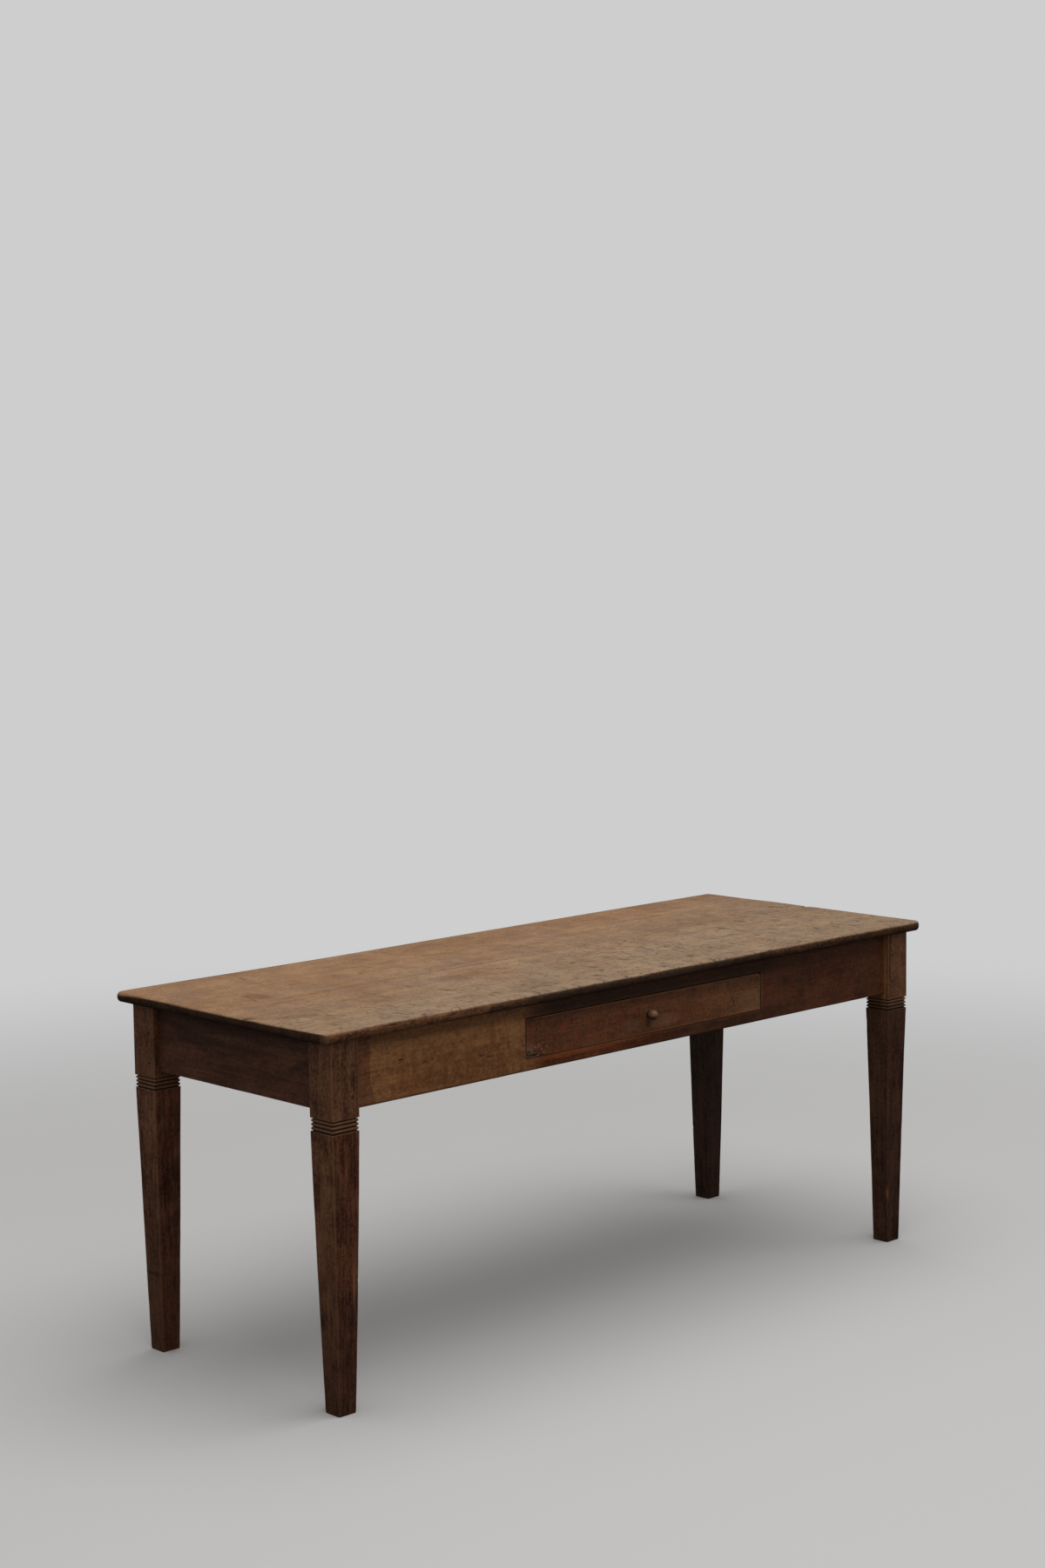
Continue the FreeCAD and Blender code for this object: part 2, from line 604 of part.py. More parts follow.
def make_drawer_bottom_and_back():
    """The drawer bottom in its grooves, and the drawer back that stands on it."""
    holes = make_bottom_nails("bottom_nail_holes", "fit_clearance")
    half_inside = "drawer_front_width / 2 - drawer_side_thickness"
    upward = ("bottom_low", "bottom_high")
    panel = box("bottom_panel", both("drawer_offset", f"{half_inside} + bottom_groove_depth"),
                ("front_rear", "back_rear"), upward)
    lip = box("bottom_lip", both("drawer_offset", f"{half_inside} - fit_clearance"),
              ("front_rear - bottom_groove_depth", "back_rear"), upward)
    finish("drawer_bottom", cut("bottom_worked", fuse("bottom_blank", panel, lip), holes))
    back = box("back_board", both("drawer_offset", f"{half_inside} + housing_depth"),
               ("back_fore", "back_rear"), ("bottom_high", "side_high - drawer_back_drop"))
    finish("drawer_back", cut("back_worked", back, holes))
    finish("drawer_bottom_nails", make_bottom_nails("bottom_nails", "0"))


def make_knob():
    """The turned knob: spigot, collar, neck and ball round one axis."""
    body = doc.addObject("PartDesign::Body", "knob_turning")
    level = next(plane for plane in body.Origin.OriginFeatures if plane.Role == "XY_Plane")
    sketch = body.newObject("Sketcher::SketchObject", "knob_profile")
    sketch.AttachmentSupport = [(level, "")]
    sketch.MapMode = "FlatFace"
    spigot = size.get("knob_spigot") / 2
    collar = size.get("knob_collar") / 2
    neck = size.get("knob_neck") / 2
    ball = size.get("knob_ball") / 2
    reach = size.get("knob_reach")
    length = size.get("drawer_front_thickness")
    face = -size.get("knob_collar_thickness")
    meeting = math.acos(neck / ball)
    corners = [Vector(0, length), Vector(spigot, length), Vector(spigot, 0), Vector(collar, 0),
               Vector(collar, face), Vector(neck, face), Vector(neck, ball * math.sin(meeting) - reach)]
    for start, end in zip(corners, corners[1:]):
        sketch.addGeometry(Part.LineSegment(start, end))
    circle = Part.Circle(Vector(0, -reach), Z_WAY, ball)
    arc = sketch.addGeometry(Part.ArcOfCircle(circle, -math.pi / 2, meeting))
    axis = sketch.addGeometry(Part.LineSegment(Vector(0, -reach - ball), corners[0]))
    last = arc - 1
    for line in range(last):
        sketch.addConstraint(Sketcher.Constraint("Coincident", line, 2, line + 1, 1))
    sketch.addConstraint(Sketcher.Constraint("Coincident", last, 2, arc, 2))
    sketch.addConstraint(Sketcher.Constraint("Coincident", arc, 1, axis, 1))
    sketch.addConstraint(Sketcher.Constraint("Coincident", axis, 2, 0, 1))
    for line in range(arc):
        sketch.addConstraint(Sketcher.Constraint("Vertical" if line % 2 else "Horizontal", line))
    for thing, point in ((0, 1), (arc, 1), (arc, 3)):
        sketch.addConstraint(Sketcher.Constraint("PointOnObject", thing, point, -2))
    sketch.addConstraint(Sketcher.Constraint("PointOnObject", 1, 2, -1))
    measures = (
        (Sketcher.Constraint("DistanceY", -1, 1, 0, 1, length), "drawer_front_thickness"),
        (Sketcher.Constraint("DistanceX", -1, 1, 1, 1, spigot), "knob_spigot / 2"),
        (Sketcher.Constraint("DistanceX", -1, 1, 3, 1, collar), "knob_collar / 2"),
        (Sketcher.Constraint("DistanceY", 3, 2, 3, 1, -face), "knob_collar_thickness"),
        (Sketcher.Constraint("DistanceX", -1, 1, 5, 1, neck), "knob_neck / 2"),
        (Sketcher.Constraint("Radius", arc, ball), "knob_ball / 2"),
        (Sketcher.Constraint("DistanceY", arc, 3, -1, 1, reach), "knob_reach"),
    )
    for constraint, words in measures:
        number = sketch.addConstraint(constraint)
        sketch.setExpression(f"Constraints[{number}]", formula(words))
    turning = body.newObject("PartDesign::Revolution", "knob_turned")
    turning.Profile = sketch
    turning.ReferenceAxis = (sketch, ["V_Axis"])
    turning.Angle = 360
    finish("drawer_knob", place(body, "drawer_offset", "front_face", "front_middle"))


def seat(thing, side, along):
    """Carry a piece from a button's own frame to its place on an apron's inner face."""
    spots = {
        "left": ("-apron_inner_x", along),
        "front": (along, "-apron_inner_y"),
        "right": ("apron_inner_x", along),
        "back": (along, "apron_inner_y"),
    }
    thing.Placement = Placement(Vector(), Rotation(Z_WAY, BUTTON_TURNS[side]))
    return place(thing, *spots[side], "top_underside")


def make_screw(name, slack):
    """A countersunk screw, or its hole, upwards through a button in the button's own frame."""
    start = ("(button_gap + button_length) / 2", "0", "-button_thickness")
    shank = rod(f"{name}_shank", f"screw_diameter + 2 * ({slack})", f"screw_length + {slack}", Z_WAY, start)
    head = doc.addObject("Part::Cone", f"{name}_head")
    bind(head, Radius1=f"screw_head_diameter / 2 + {slack}", Radius2=f"screw_diameter / 2 + {slack}",
         Height="screw_head_height")
    return fuse(name, shank, place(head, *start))


def make_buttons():
    """The buttons under the top and their screws; gives the slots and screw holes that they need."""
    across = both("0", "button_width / 2")
    hole = make_screw("screw_hole", "fit_clearance")
    screw = make_screw("screw", "0")
    block = box("button_block", ("button_gap", "button_length"), across, ("-button_thickness", "0"))
    tongue = box("button_tongue", ("-button_tongue", "button_length"), across,
                 ("-button_thickness", "button_tongue_thickness - button_thickness"))
    button = cut("button", fuse("button_blank", block, tongue), hole)
    slot = box("button_slot", ("-button_tongue - fit_clearance", "cut_overrun"),
               both("0", "button_width / 2 + button_play"),
               both("button_tongue_thickness / 2 - button_thickness",
                    "button_tongue_thickness / 2 + fit_clearance"))
    slots = {side: [] for side in BUTTON_TURNS}
    holes = {"front": [], "back": []}
    screws = []
    for label, side, along in BUTTONS:
        finish(label, seat(group(f"{label}_seated", button), side, along))
        slots[side].append(seat(group(f"{label}_slot", slot), side, along))
        board = "back" if side == "back" else "front"
        holes[board].append(seat(group(f"{label}_hole", hole), side, along))
        screws.append(seat(group(f"{label}_screw", screw), side, along))
    finish("button_screws", group("screws_in_buttons", *screws))
    return slots, holes


def check_and_write():
    """Stop on any failed object or bad shape, then write one file for each piece."""
    doc.recompute()
    for thing in doc.Objects:
        if "Invalid" in thing.State or "Error" in thing.State:
            raise RuntimeError(f"{thing.Name} failed: {thing.State}")
    for piece in finished:
        if piece.Shape.isNull() or not piece.Shape.isValid() or not piece.Shape.Solids:
            raise RuntimeError(f"{piece.Label} has no good solid")
    os.makedirs("parts", exist_ok=True)
    for piece in finished:
        piece.Shape.exportStep(f"parts/{piece.Label}.step")
        print(f"{piece.Label}: {len(piece.Shape.Solids)} solids, {piece.Shape.Volume:.0f} cubic mm")


size = write_sheet("Size", [(alias, str(value), words) for alias, value, words in SIZES])
sheet_of.update((alias, "Place") for alias, words in PLACES)
write_sheet("Place", [(alias, "=" + formula(words, "Place"), words) for alias, words in PLACES])

button_slots, screw_holes = make_buttons()
tongue_groove = make_tongue()
for holes in screw_holes.values():
    holes.append(tongue_groove)
make_top_board("top_front_board", "-top_width / 2", "board_joint_offset", "front", screw_holes)
make_top_board("top_back_board", "board_joint_offset", "top_width / 2", "back", screw_holes)
pegs = make_pegs("pegs_back_right_corner", "0")
peg_room = make_pegs("peg_holes", "fit_clearance")
to_corners("pegs", pegs, CORNERS)
make_legs(peg_room)
make_aprons(peg_room, button_slots)
make_carriage()
make_drawer_front()
make_drawer_sides()
make_drawer_bottom_and_back()
make_knob()
check_and_write()
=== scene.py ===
"""The looks of an old kitchen table with one drawer, laid out as an add-on and run as a script.

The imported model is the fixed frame: the front faces -Y, the floor is z = 0 and the origin lies under
the middle of the top. Each operator makes one piece or a group of like pieces there, in metres, and
lets it ride on its body.
"""

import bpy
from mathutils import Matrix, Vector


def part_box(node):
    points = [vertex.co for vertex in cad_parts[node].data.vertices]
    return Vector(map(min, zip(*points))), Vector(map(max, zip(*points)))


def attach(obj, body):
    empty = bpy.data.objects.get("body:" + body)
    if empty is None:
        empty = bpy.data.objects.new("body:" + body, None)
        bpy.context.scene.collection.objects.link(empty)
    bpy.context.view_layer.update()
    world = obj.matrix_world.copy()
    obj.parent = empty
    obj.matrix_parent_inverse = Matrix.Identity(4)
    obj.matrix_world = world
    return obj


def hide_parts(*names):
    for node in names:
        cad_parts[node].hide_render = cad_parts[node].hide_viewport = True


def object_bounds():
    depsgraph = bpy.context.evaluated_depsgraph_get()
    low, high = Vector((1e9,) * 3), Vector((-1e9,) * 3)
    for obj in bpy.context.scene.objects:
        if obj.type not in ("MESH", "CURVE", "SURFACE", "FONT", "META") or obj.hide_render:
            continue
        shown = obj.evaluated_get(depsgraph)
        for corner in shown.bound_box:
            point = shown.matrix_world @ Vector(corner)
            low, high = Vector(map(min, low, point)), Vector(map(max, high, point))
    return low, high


bl_info = {
    "name": "Old Kitchen Table",
    "version": (1, 0, 0),
    "blender": (4, 5, 0),
    "location": "3D View > Sidebar > Kitchen Table",
    "description": "Dresses the frame of an old kitchen table in worn wood",
    "category": "Object",
}

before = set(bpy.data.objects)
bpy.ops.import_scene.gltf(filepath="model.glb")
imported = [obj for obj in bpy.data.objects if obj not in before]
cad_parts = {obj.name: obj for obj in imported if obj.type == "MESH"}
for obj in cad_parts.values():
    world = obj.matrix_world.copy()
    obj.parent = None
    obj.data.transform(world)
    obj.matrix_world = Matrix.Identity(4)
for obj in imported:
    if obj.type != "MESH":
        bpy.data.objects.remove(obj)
CAD_BOX = [list(corner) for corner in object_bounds()]

import math
from typing import NamedTuple

import bmesh
import bpy
import numpy as np
from bpy.props import FloatProperty, FloatVectorProperty, IntProperty, PointerProperty
from mathutils import Matrix, Vector, noise

BOXES = {name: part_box(name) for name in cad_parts}
LEFT_END, FRONT_EDGE = CAD_BOX[0][:2]
RIGHT_END, BACK_EDGE = CAD_BOX[1][:2]
LEFT_LEG, RIGHT_LEG = BOXES["leg_front_left"], BOXES["leg_front_right"]
PEG_NODES = ("pegs_front_left", "pegs_front_right", "pegs_back_left", "pegs_back_right")
DRAWER_BOX_NODES = ("drawer_side_left", "drawer_side_right", "drawer_back", "drawer_bottom")
RAIL_NODES = tuple(f"drawer_{kind}_{side}" for kind in ("runner", "guide", "kicker", "stop")
                   for side in ("left", "right"))
BUTTON_NODES = tuple(name for name in sorted(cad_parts) if name.startswith("button_")
                     and name != "button_screws")

# The drawer's opening, from the pieces that line it.
OPENING_LEFT = BOXES["drawer_guide_left"][1].x
OPENING_RIGHT = BOXES["drawer_guide_right"][0].x
OPENING_BOTTOM = BOXES["drawer_runner_left"][1].z
OPENING_TOP = BOXES["drawer_kicker_left"][0].z
DRAWER_LOW, DRAWER_HIGH = BOXES["drawer_front"]

# Marks in the scrubbed top: middle x, middle y, reach along x, reach along y, lean of x with y, strength.
TOP_MARKS = (
    (0.445, -0.137, 0.032, 0.011, 1.0, 0.5),
    (-0.040, -0.130, 0.012, 0.005, 0.8, 0.9),
    (-0.316, -0.097, 0.014, 0.007, 0.0, 0.5),
    (-0.570, -0.127, 0.004, 0.018, -0.15, 0.7),
    (-0.434, -0.167, 0.005, 0.024, -0.35, 0.7),
    (-0.430, 0.112, 0.009, 0.004, 0.5, 0.9),
    (-0.636, 0.249, 0.004, 0.026, 0.3, 0.45),
    (-0.766, 0.054, 0.004, 0.034, 0.3, 0.4),
    (-0.106, 0.194, 0.010, 0.006, 0.0, 0.4),
    (0.190, -0.257, 0.013, 0.006, 0.5, 0.9),
    (0.430, -0.052, 0.010, 0.004, 0.8, 0.8),
    (0.490, -0.312, 0.010, 0.005, 0.6, 0.9),
    (0.235, -0.018, 0.009, 0.005, 0.6, 0.7),
    (0.352, -0.060, 0.022, 0.009, 0.5, 0.4),
    (-0.245, -0.025, 0.007, 0.004, 0.4, 0.7),
    (0.742, -0.135, 0.008, 0.005, 0.4, 0.5),
    (-0.190, -0.200, 0.010, 0.005, 0.6, 0.6),
    (0.060, -0.135, 0.010, 0.005, 0.6, 0.5),
    (0.150, -0.340, 0.012, 0.008, 0.0, 0.7),
    (-0.890, -0.098, 0.010, 0.014, -0.5, 0.7),
    (-0.820, -0.160, 0.040, 0.026, -0.8, 0.3),
    (0.860, -0.290, 0.008, 0.008, 0.0, 0.5),
    (0.893, 0.010, 0.009, 0.010, 0.0, 1.0),
)
# Dark spots on the front apron: x, z, reach along x, reach along z, strength.
APRON_SPOTS = (
    (-0.684, 0.670, 0.007, 0.0024, 0.9),
    (-0.714, 0.687, 0.004, 0.0020, 0.6),
    (-0.602, 0.659, 0.004, 0.0025, 0.6),
    (-0.605, 0.668, 0.005, 0.0020, 0.4),
    (-0.621, 0.657, 0.007, 0.0040, 0.5),
    (-0.449, 0.640, 0.009, 0.0025, 0.6),
    (-0.470, 0.645, 0.008, 0.0030, 0.4),
    (-0.410, 0.616, 0.004, 0.0040, 0.5),
    (-0.428, 0.654, 0.004, 0.0040, 0.4),
)
# Worn and broken places of the top's outline: x, y, half width, depth.
TOP_NICKS = (
    (0.341, FRONT_EDGE, 0.007, 0.0026),
    (0.362, FRONT_EDGE, 0.010, 0.0014),
    (-0.020, FRONT_EDGE, 0.008, 0.0018),
    (-0.505, FRONT_EDGE, 0.030, 0.0012),
    (LEFT_END, -0.118, 0.022, 0.0022),
    (LEFT_END, 0.140, 0.040, 0.0012),
    (RIGHT_END, 0.009, 0.005, 0.0080),
    (RIGHT_END, 0.225, 0.080, 0.0060),
    (RIGHT_END, -0.240, 0.050, 0.0020),
    (-0.895, -0.330, 0.018, 0.0024),
    (-0.390, BACK_EDGE, 0.200, 0.0030),
    (0.150, FRONT_EDGE, 0.012, 0.0012),
    (0.455, FRONT_EDGE, 0.012, 0.0018),
    (0.525, FRONT_EDGE, 0.008, 0.0024),
    (0.610, FRONT_EDGE, 0.016, 0.0016),
    (0.705, FRONT_EDGE, 0.010, 0.0020),
    (0.780, FRONT_EDGE, 0.020, 0.0014),
    (-0.650, FRONT_EDGE, 0.011, 0.0022),
    (-0.555, FRONT_EDGE, 0.009, 0.0016),
    (-0.720, FRONT_EDGE, 0.007, 0.0014),
    (-0.270, FRONT_EDGE, 0.012, 0.0012),
)


def linear(*levels):
    """A colour from its 0 to 255 display levels, as the shaders take it."""
    shares = [level / 255 for level in levels]
    return tuple(s / 12.92 if s <= 0.04045 else ((s + 0.055) / 1.055) ** 2.4 for s in shares)


def length(name, description, default):
    """A size in metres that a user can change."""
    return FloatProperty(name=name, description=description, default=default, min=0, precision=5,
                         unit="LENGTH", subtype="DISTANCE")


def colour(name, description, *levels):
    """A finish's colour that a user can change, given by its display levels."""
    return FloatVectorProperty(name=name, description=description, default=linear(*levels), size=3,
                               min=0, max=1, subtype="COLOR")


def level(name, description, default):
    """A plain number that a user can change."""
    return FloatProperty(name=name, description=description, default=default, min=0)


class TopLook(bpy.types.PropertyGroup):
    """Sizes and colours of the two scrubbed boards of the top."""

    cell: length("Cell", "Spacing of the boards' mesh", 0.005)
    corner: length("Corner radius", "Plan radius of the four corners", 0.013)
    edge: length("Edge radius", "Radius of the worn upper edge", 0.009)
    edge_end: length("End edge radius", "Radius of the upper edge at both ends", 0.0035)
    end_fade: length("End fade", "How far the back corners' rounding runs along the ends", 0.05)
    edge_low: length("Lower edge radius", "Radius of the lower edge", 0.009)
    edge_wave: length("Edge wave", "How far the worn outline wanders", 0.0012)
    ripple: length("Ripple", "Height of the scrubbed surface's soft waves", 0.0004)
    hollow: length("Hollow", "How far the back edge is worn down", 0.0018)
    end_wear: length("End wear", "How far the left end is worn down", 0.0024)
    dent: length("Dent", "Depth of the deepest dent", 0.0009)
    joint_width: length("Joint width", "Width of the worn groove on each side of the joint", 0.0007)
    joint_depth: length("Joint depth", "Depth of that groove", 0.0003)
    tan: colour("Tan", "Scrubbed wood towards the back", 166, 128, 95)
    grey: colour("Grey tan", "Scrubbed wood towards the front", 164, 138, 112)
    grain: colour("Grain", "Darker late wood of the boards", 128, 88, 58)
    fleck: colour("Fleck", "Dirt in the pores and dents", 62, 44, 33)
    haze: colour("Haze", "Greyer patches of the scrubbed wood", 140, 116, 101)
    glow: colour("Glow", "Warmer patches of the scrubbed wood", 182, 144, 106)
    stain: colour("Stain", "Bluish grey of the old stains", 112, 98, 90)
    rim: colour("Rim", "Old dark finish that is left on the edges", 58, 41, 30)
    warm: colour("Warm rim", "Rubbed finish towards the corners", 112, 73, 50)
    under: colour("Underside", "Unfinished wood below", 92, 70, 52)


class LegLook(bpy.types.PropertyGroup):
    """Sizes and colours of the four legs."""

    block_height: length("Block height", "Height of the square block at the top", 0.154)
    band_height: length("Band height", "Height of the band of reeds under the block", 0.0252)
    shaft: length("Shaft width", "Width of the shaft under the band", 0.0652)
    foot: length("Foot width", "Width of the shaft at the floor", 0.042)
    spread: length("Spread", "How far the block's faces stand out from the plain leg", 0.0006)
    reed: length("Reed height", "Height of one reed", 0.006)
    groove: length("Groove height", "Height of one groove", 0.0018)
    reed_radius: length("Reed radius", "Rounding of a reed", 0.0026)
    crest: length("Crest inset", "How far a reed's crest lies behind the block's face", 0.001)
    floor: length("Groove inset", "How far a groove's floor lies behind the block's face", 0.0035)
    arris: length("Arris radius", "Usual rounding of the worn arrises", 0.0012)
    chip: length("Chip", "Extra rounding where an arris is knocked", 0.0034)
    sway: length("Sway", "How far the hand-planed faces wander", 0.0010)
    brown: colour("Brown", "Usual colour of the old finish", 110, 73, 50)
    red: colour("Red brown", "Redder colour of the front faces", 95, 55, 36)
    worn: colour("Worn", "Rubbed wood on the arrises", 128, 90, 62)
    # Also used for painted light on the front right leg's block.
    bare: colour("Bare", "Bare wood where a leg is scraped", 176, 120, 72)
    # Colour of the painted shade on the far legs.
    dull: colour("Dull", "What dulls the legs away from the light", 42, 28, 20)


class RailLook(bpy.types.PropertyGroup):
    """Sizes and colours of the four aprons."""

    cell: length("Cell", "Spacing of the aprons' mesh", 0.012)
    guard: length("Guard", "Distance of the first mesh line from an edge", 0.003)
    arris: length("Arris", "Widest easing of the arrises", 0.0022)
    ripple: length("Ripple", "Height of the planed faces' soft waves", 0.0005)
    gold: colour("Gold", "Pale sapwood left of the drawer", 148, 102, 62)
    strip: colour("Strip", "Reddish strip beside the near leg", 116, 73, 47)
    brown: colour("Brown", "Usual colour of the old finish", 90, 49, 29)
    orange: colour("Orange", "Rubbed rail under the drawer", 94, 46, 22)
    bright: colour("Bright", "Brightest part of that rail", 134, 70, 31)
    dark: colour("Dark", "Finish of the end aprons", 90, 56, 39)
    olive: colour("Olive", "Duller patches in the finish", 76, 54, 33)
    worn: colour("Worn", "Rubbed wood on the arrises", 126, 80, 46)


class DrawerLook(bpy.types.PropertyGroup):
    """Sizes and colours of the drawer and its knob."""

    arris: length("Arris", "Widest easing of the drawer front's arrises", 0.0016)
    ripple: length("Ripple", "Height of the front's soft waves", 0.0004)
    chip_long: length("Chip length", "Length of the broken lower left corner", 0.066)
    chip_high: length("Chip height", "Height of the broken lower left corner", 0.038)
    chip_deep: length("Chip depth", "Depth of the broken lower left corner", 0.0026)
    corner: length("Worn corner", "Radius of the worn upper right corner", 0.009)
    box_arris: length("Box arris", "Easing of the drawer box's arrises", 0.0008)
    knob_tenon: length("Knob tenon radius", "Radius of the tenon behind the knob", 0.0050)
    knob_collar: length("Knob collar radius", "Radius of the collar", 0.0085)
    knob_collar_height: length("Knob collar height", "Height of the collar", 0.0012)
    knob_neck: length("Knob neck radius", "Radius of the neck", 0.0066)
    knob_ball: length("Knob ball radius", "Radius of the ball", 0.0110)
    knob_reach: length("Knob reach", "How far the ball reaches out from the drawer front", 0.0242)
    brown: colour("Brown", "Usual colour of the drawer front", 108, 64, 39)
    pale: colour("Pale", "Rubbed right end of the drawer front", 126, 83, 53)
    bright: colour("Bright", "Lightest part of the rubbed right end", 144, 106, 74)
    splinter: colour("Splinter", "Grey broken wood at the lower left corner", 124, 94, 74)
    crumb: colour("Crumb", "Bare crumbs of wood at that corner", 158, 122, 100)
    ruddy: colour("Ruddy", "Redder patches of the drawer front", 134, 68, 35)
    olive: colour("Olive", "Duller patches of the drawer front", 92, 66, 43)
    knob: colour("Knob", "Handled wood of the knob", 140, 98, 67)
    box: colour("Box", "Bare wood of the drawer box", 150, 116, 80)


class FixingLook(bpy.types.PropertyGroup):
    """Sizes and colours of the pegs, nails, screws and the pieces inside."""

    peg: length("Peg radius", "Radius of a peg", 0.0041)
    proud: length("Peg stand", "How far a peg stands proud of the leg", 0.0014)
    nail_head: length("Nail head radius", "Radius of a nail's head", 0.0024)
    peg_length: length("Peg length", "Length of a peg inside the leg", 0.02)
    nail_stand: length("Nail head height", "Height of a nail's head", 0.0005)
    nail_length: length("Nail length", "Length of a nail", 0.024)
    screw_head: length("Screw head radius", "Radius of a screw's head", 0.004)
    screw_stand: length("Screw head height", "Height of a screw's head", 0.0022)
    screw_shank: length("Screw radius", "Radius of a screw's shank", 0.002)
    screw_length: length("Screw length", "Length of a screw", 0.02)
    slot: length("Screw slot", "Width of a screw's slot", 0.0012)
    slot_depth: length("Slot depth", "Depth of a screw's slot", 0.0014)
    arris: length("Arris", "Easing of the inner pieces' arrises", 0.0010)
    seed: IntProperty(name="Seed", description="Seed of the fixings' chance turns", default=11)
    peg_brown: colour("Peg", "Dark end grain of the pegs", 70, 48, 35)
    inner: colour("Inner wood", "Bare wood of the inner pieces", 126, 95, 66)
    iron: colour("Iron", "Dull iron", 70, 62, 57)
    rust: colour("Rust", "Rust on the iron", 96, 56, 36)


class StageLook(bpy.types.PropertyGroup):
    """Floor, light and camera."""

    floor: colour("Floor", "Pale floor as the camera sees it", 224, 223, 221)
    bounce: colour("Floor bounce", "Floor as the table's surfaces see it", 96, 92, 88)
    backdrop: colour("Backdrop", "What the camera sees behind the floor", 206, 206, 207)
    ambient: level("Ambient", "Strength of the soft light from all round", 0.36)
    key: FloatProperty(name="Key", description="Power of the soft light above", default=88, min=0,
                       unit="POWER")
    fill: FloatProperty(name="Fill", description="Power of the soft light at the front",
                        default=24, min=0, unit="POWER")
    lens: FloatProperty(name="Lens", description="Focal length on a 36 mm long side", default=61.0007,
                        min=1, unit="CAMERA")


class TableLook(bpy.types.PropertyGroup):
    """Everything that a user can change on the table."""

    top: PointerProperty(type=TopLook)
    leg: PointerProperty(type=LegLook)
    rail: PointerProperty(type=RailLook)
    drawer: PointerProperty(type=DrawerLook)
    fixing: PointerProperty(type=FixingLook)
    stage: PointerProperty(type=StageLook)


# Node trees, written as expressions.

class Term:
    """A value of a node tree. Python's operators on it add Math nodes."""

    def __init__(self, graph, socket):
        self.graph = graph
        self.socket = socket

    def __add__(self, other):
        return self.graph.math("ADD", self, other)

    def __sub__(self, other):
        return self.graph.math("SUBTRACT", self, other)

    def __rsub__(self, other):
        return self.graph.math("SUBTRACT", other, self)

    def __mul__(self, other):
        return self.graph.math("MULTIPLY", self, other)

    def __truediv__(self, other):
        return self.graph.math("DIVIDE", self, other)

    def __pow__(self, other):
        return self.graph.math("POWER", self, other)

    def __gt__(self, other):
        return self.graph.math("GREATER_THAN", self, other)

    def __lt__(self, other):
        return self.graph.math("LESS_THAN", self, other)

    def __abs__(self):
        return self.graph.math("ABSOLUTE", self)

    __radd__ = __add__
    __rmul__ = __mul__


class Graph:
    """A node tree, with one way to add nodes to it."""

    MIX_FACTOR, MIX_A, MIX_B, MIX_RESULT = 0, 6, 7, 2

    def __init__(self, tree):
        self.tree = tree

    def plug(self, socket, value):
        """Links a term to a socket, or sets the socket's own value."""
        if isinstance(value, Term):
            self.tree.links.new(value.socket, socket)
        elif socket.type == "RGBA":
            socket.default_value = (*value, 1)
        else:
            socket.default_value = value

    def node(self, kind, settings=None, sockets=None, out=0):
        """Adds a node: its settings first, then the values or links of its sockets."""
        made = self.tree.nodes.new(kind)
        for name, value in (settings or {}).items():
            setattr(made, name, value)
        for key, value in (sockets or {}).items():
            self.plug(made.inputs[key], value)
        return Term(self, made.outputs[out]) if made.outputs else None

    def math(self, operation, *values):
        """A calculation with plain numbers."""
        return self.node("ShaderNodeMath", {"operation": operation}, dict(enumerate(values)))

    def vector(self, operation, *values):
        """A calculation with vectors."""
        return self.node("ShaderNodeVectorMath", {"operation": operation}, dict(enumerate(values)))

    def mix(self, factor, a, b):
        """The colour a where factor is 0, b where it is 1."""
        sockets = {self.MIX_FACTOR: factor, self.MIX_A: a, self.MIX_B: b}
        return self.node("ShaderNodeMix", {"data_type": "RGBA"}, sockets, self.MIX_RESULT)

    def rise(self, value, low, high):
        """A smooth step from 0 at low to 1 at high."""
        sockets = dict(enumerate((value, low, high)))
        return self.node("ShaderNodeMapRange", {"interpolation_type": "SMOOTHSTEP"}, sockets)

    def fall(self, value, low, high):
        """A smooth step from 1 at low to 0 at high."""
        return 1 - self.rise(value, low, high)

    def ramp(self, value, low, high, start, end):
        """A straight run from start at low to end at high, level beyond them."""
        sockets = dict(enumerate((value, low, high, start, end)))
        return self.node("ShaderNodeMapRange", {"clamp": True}, sockets)

    def noise(self, place, scale=1.0, detail=2.0, distortion=0.0, seed=None):
        """Smooth noise from 0 to 1."""
        sockets = {"Vector": place, "Scale": scale, "Detail": detail, "Distortion": distortion}
        if seed is None:
            return self.node("ShaderNodeTexNoise", None, sockets)
        return self.node("ShaderNodeTexNoise", {"noise_dimensions": "4D"}, {**sockets, "W": seed})

    def spots(self, place, scale):
        """Distance to the nearest of many scattered points."""
        sockets = {"Vector": place, "Scale": scale}
        return self.node("ShaderNodeTexVoronoi", {"feature": "F1"}, sockets, "Distance")

    def attribute(self, name):
        """The number that a mesh keeps under this name for each point."""
        return self.node("ShaderNodeAttribute", {"attribute_name": name}, None, "Fac")

    def split(self, place):
        """The three parts of a vector."""
        parts = self.tree.nodes.new("ShaderNodeSeparateXYZ")
        self.plug(parts.inputs[0], place)
        return [Term(self, out) for out in parts.outputs]

    def join(self, x, y, z):
        """A vector from its three parts."""
        return self.node("ShaderNodeCombineXYZ", None, dict(enumerate((x, y, z))))


# Woods and iron.

# Dark browns: the first for grime and pores and for painted shade, the second for the painted shade on the
# front apron and for its darker rail.
GRIME_AND_SHADE = linear(30, 21, 16)
DARK_BROWN = linear(40, 27, 15)
DARK_HUE = (0.90, 1.05, 1.15)
LIGHT_HUE = (0.95, 1.05, 1.10)
SEED_SHIFT = (1.37, 0.71, 2.13)
OLD_SHEEN, SCRUBBED_SHEEN, DRAWER_SHEEN, KNOB_SHEEN, PLAIN_SHEEN = 0.52, 0.70, 0.50, 0.36, 0.62
RELIEF, SCRUBBED_RELIEF, KNOB_RELIEF = 0.0004, 0.0005, 0.0002
BUMP_STRENGTH = 0.6
BARE_LEVEL = 0.35
DIRT_LEVELS = (0.25, 0.8)


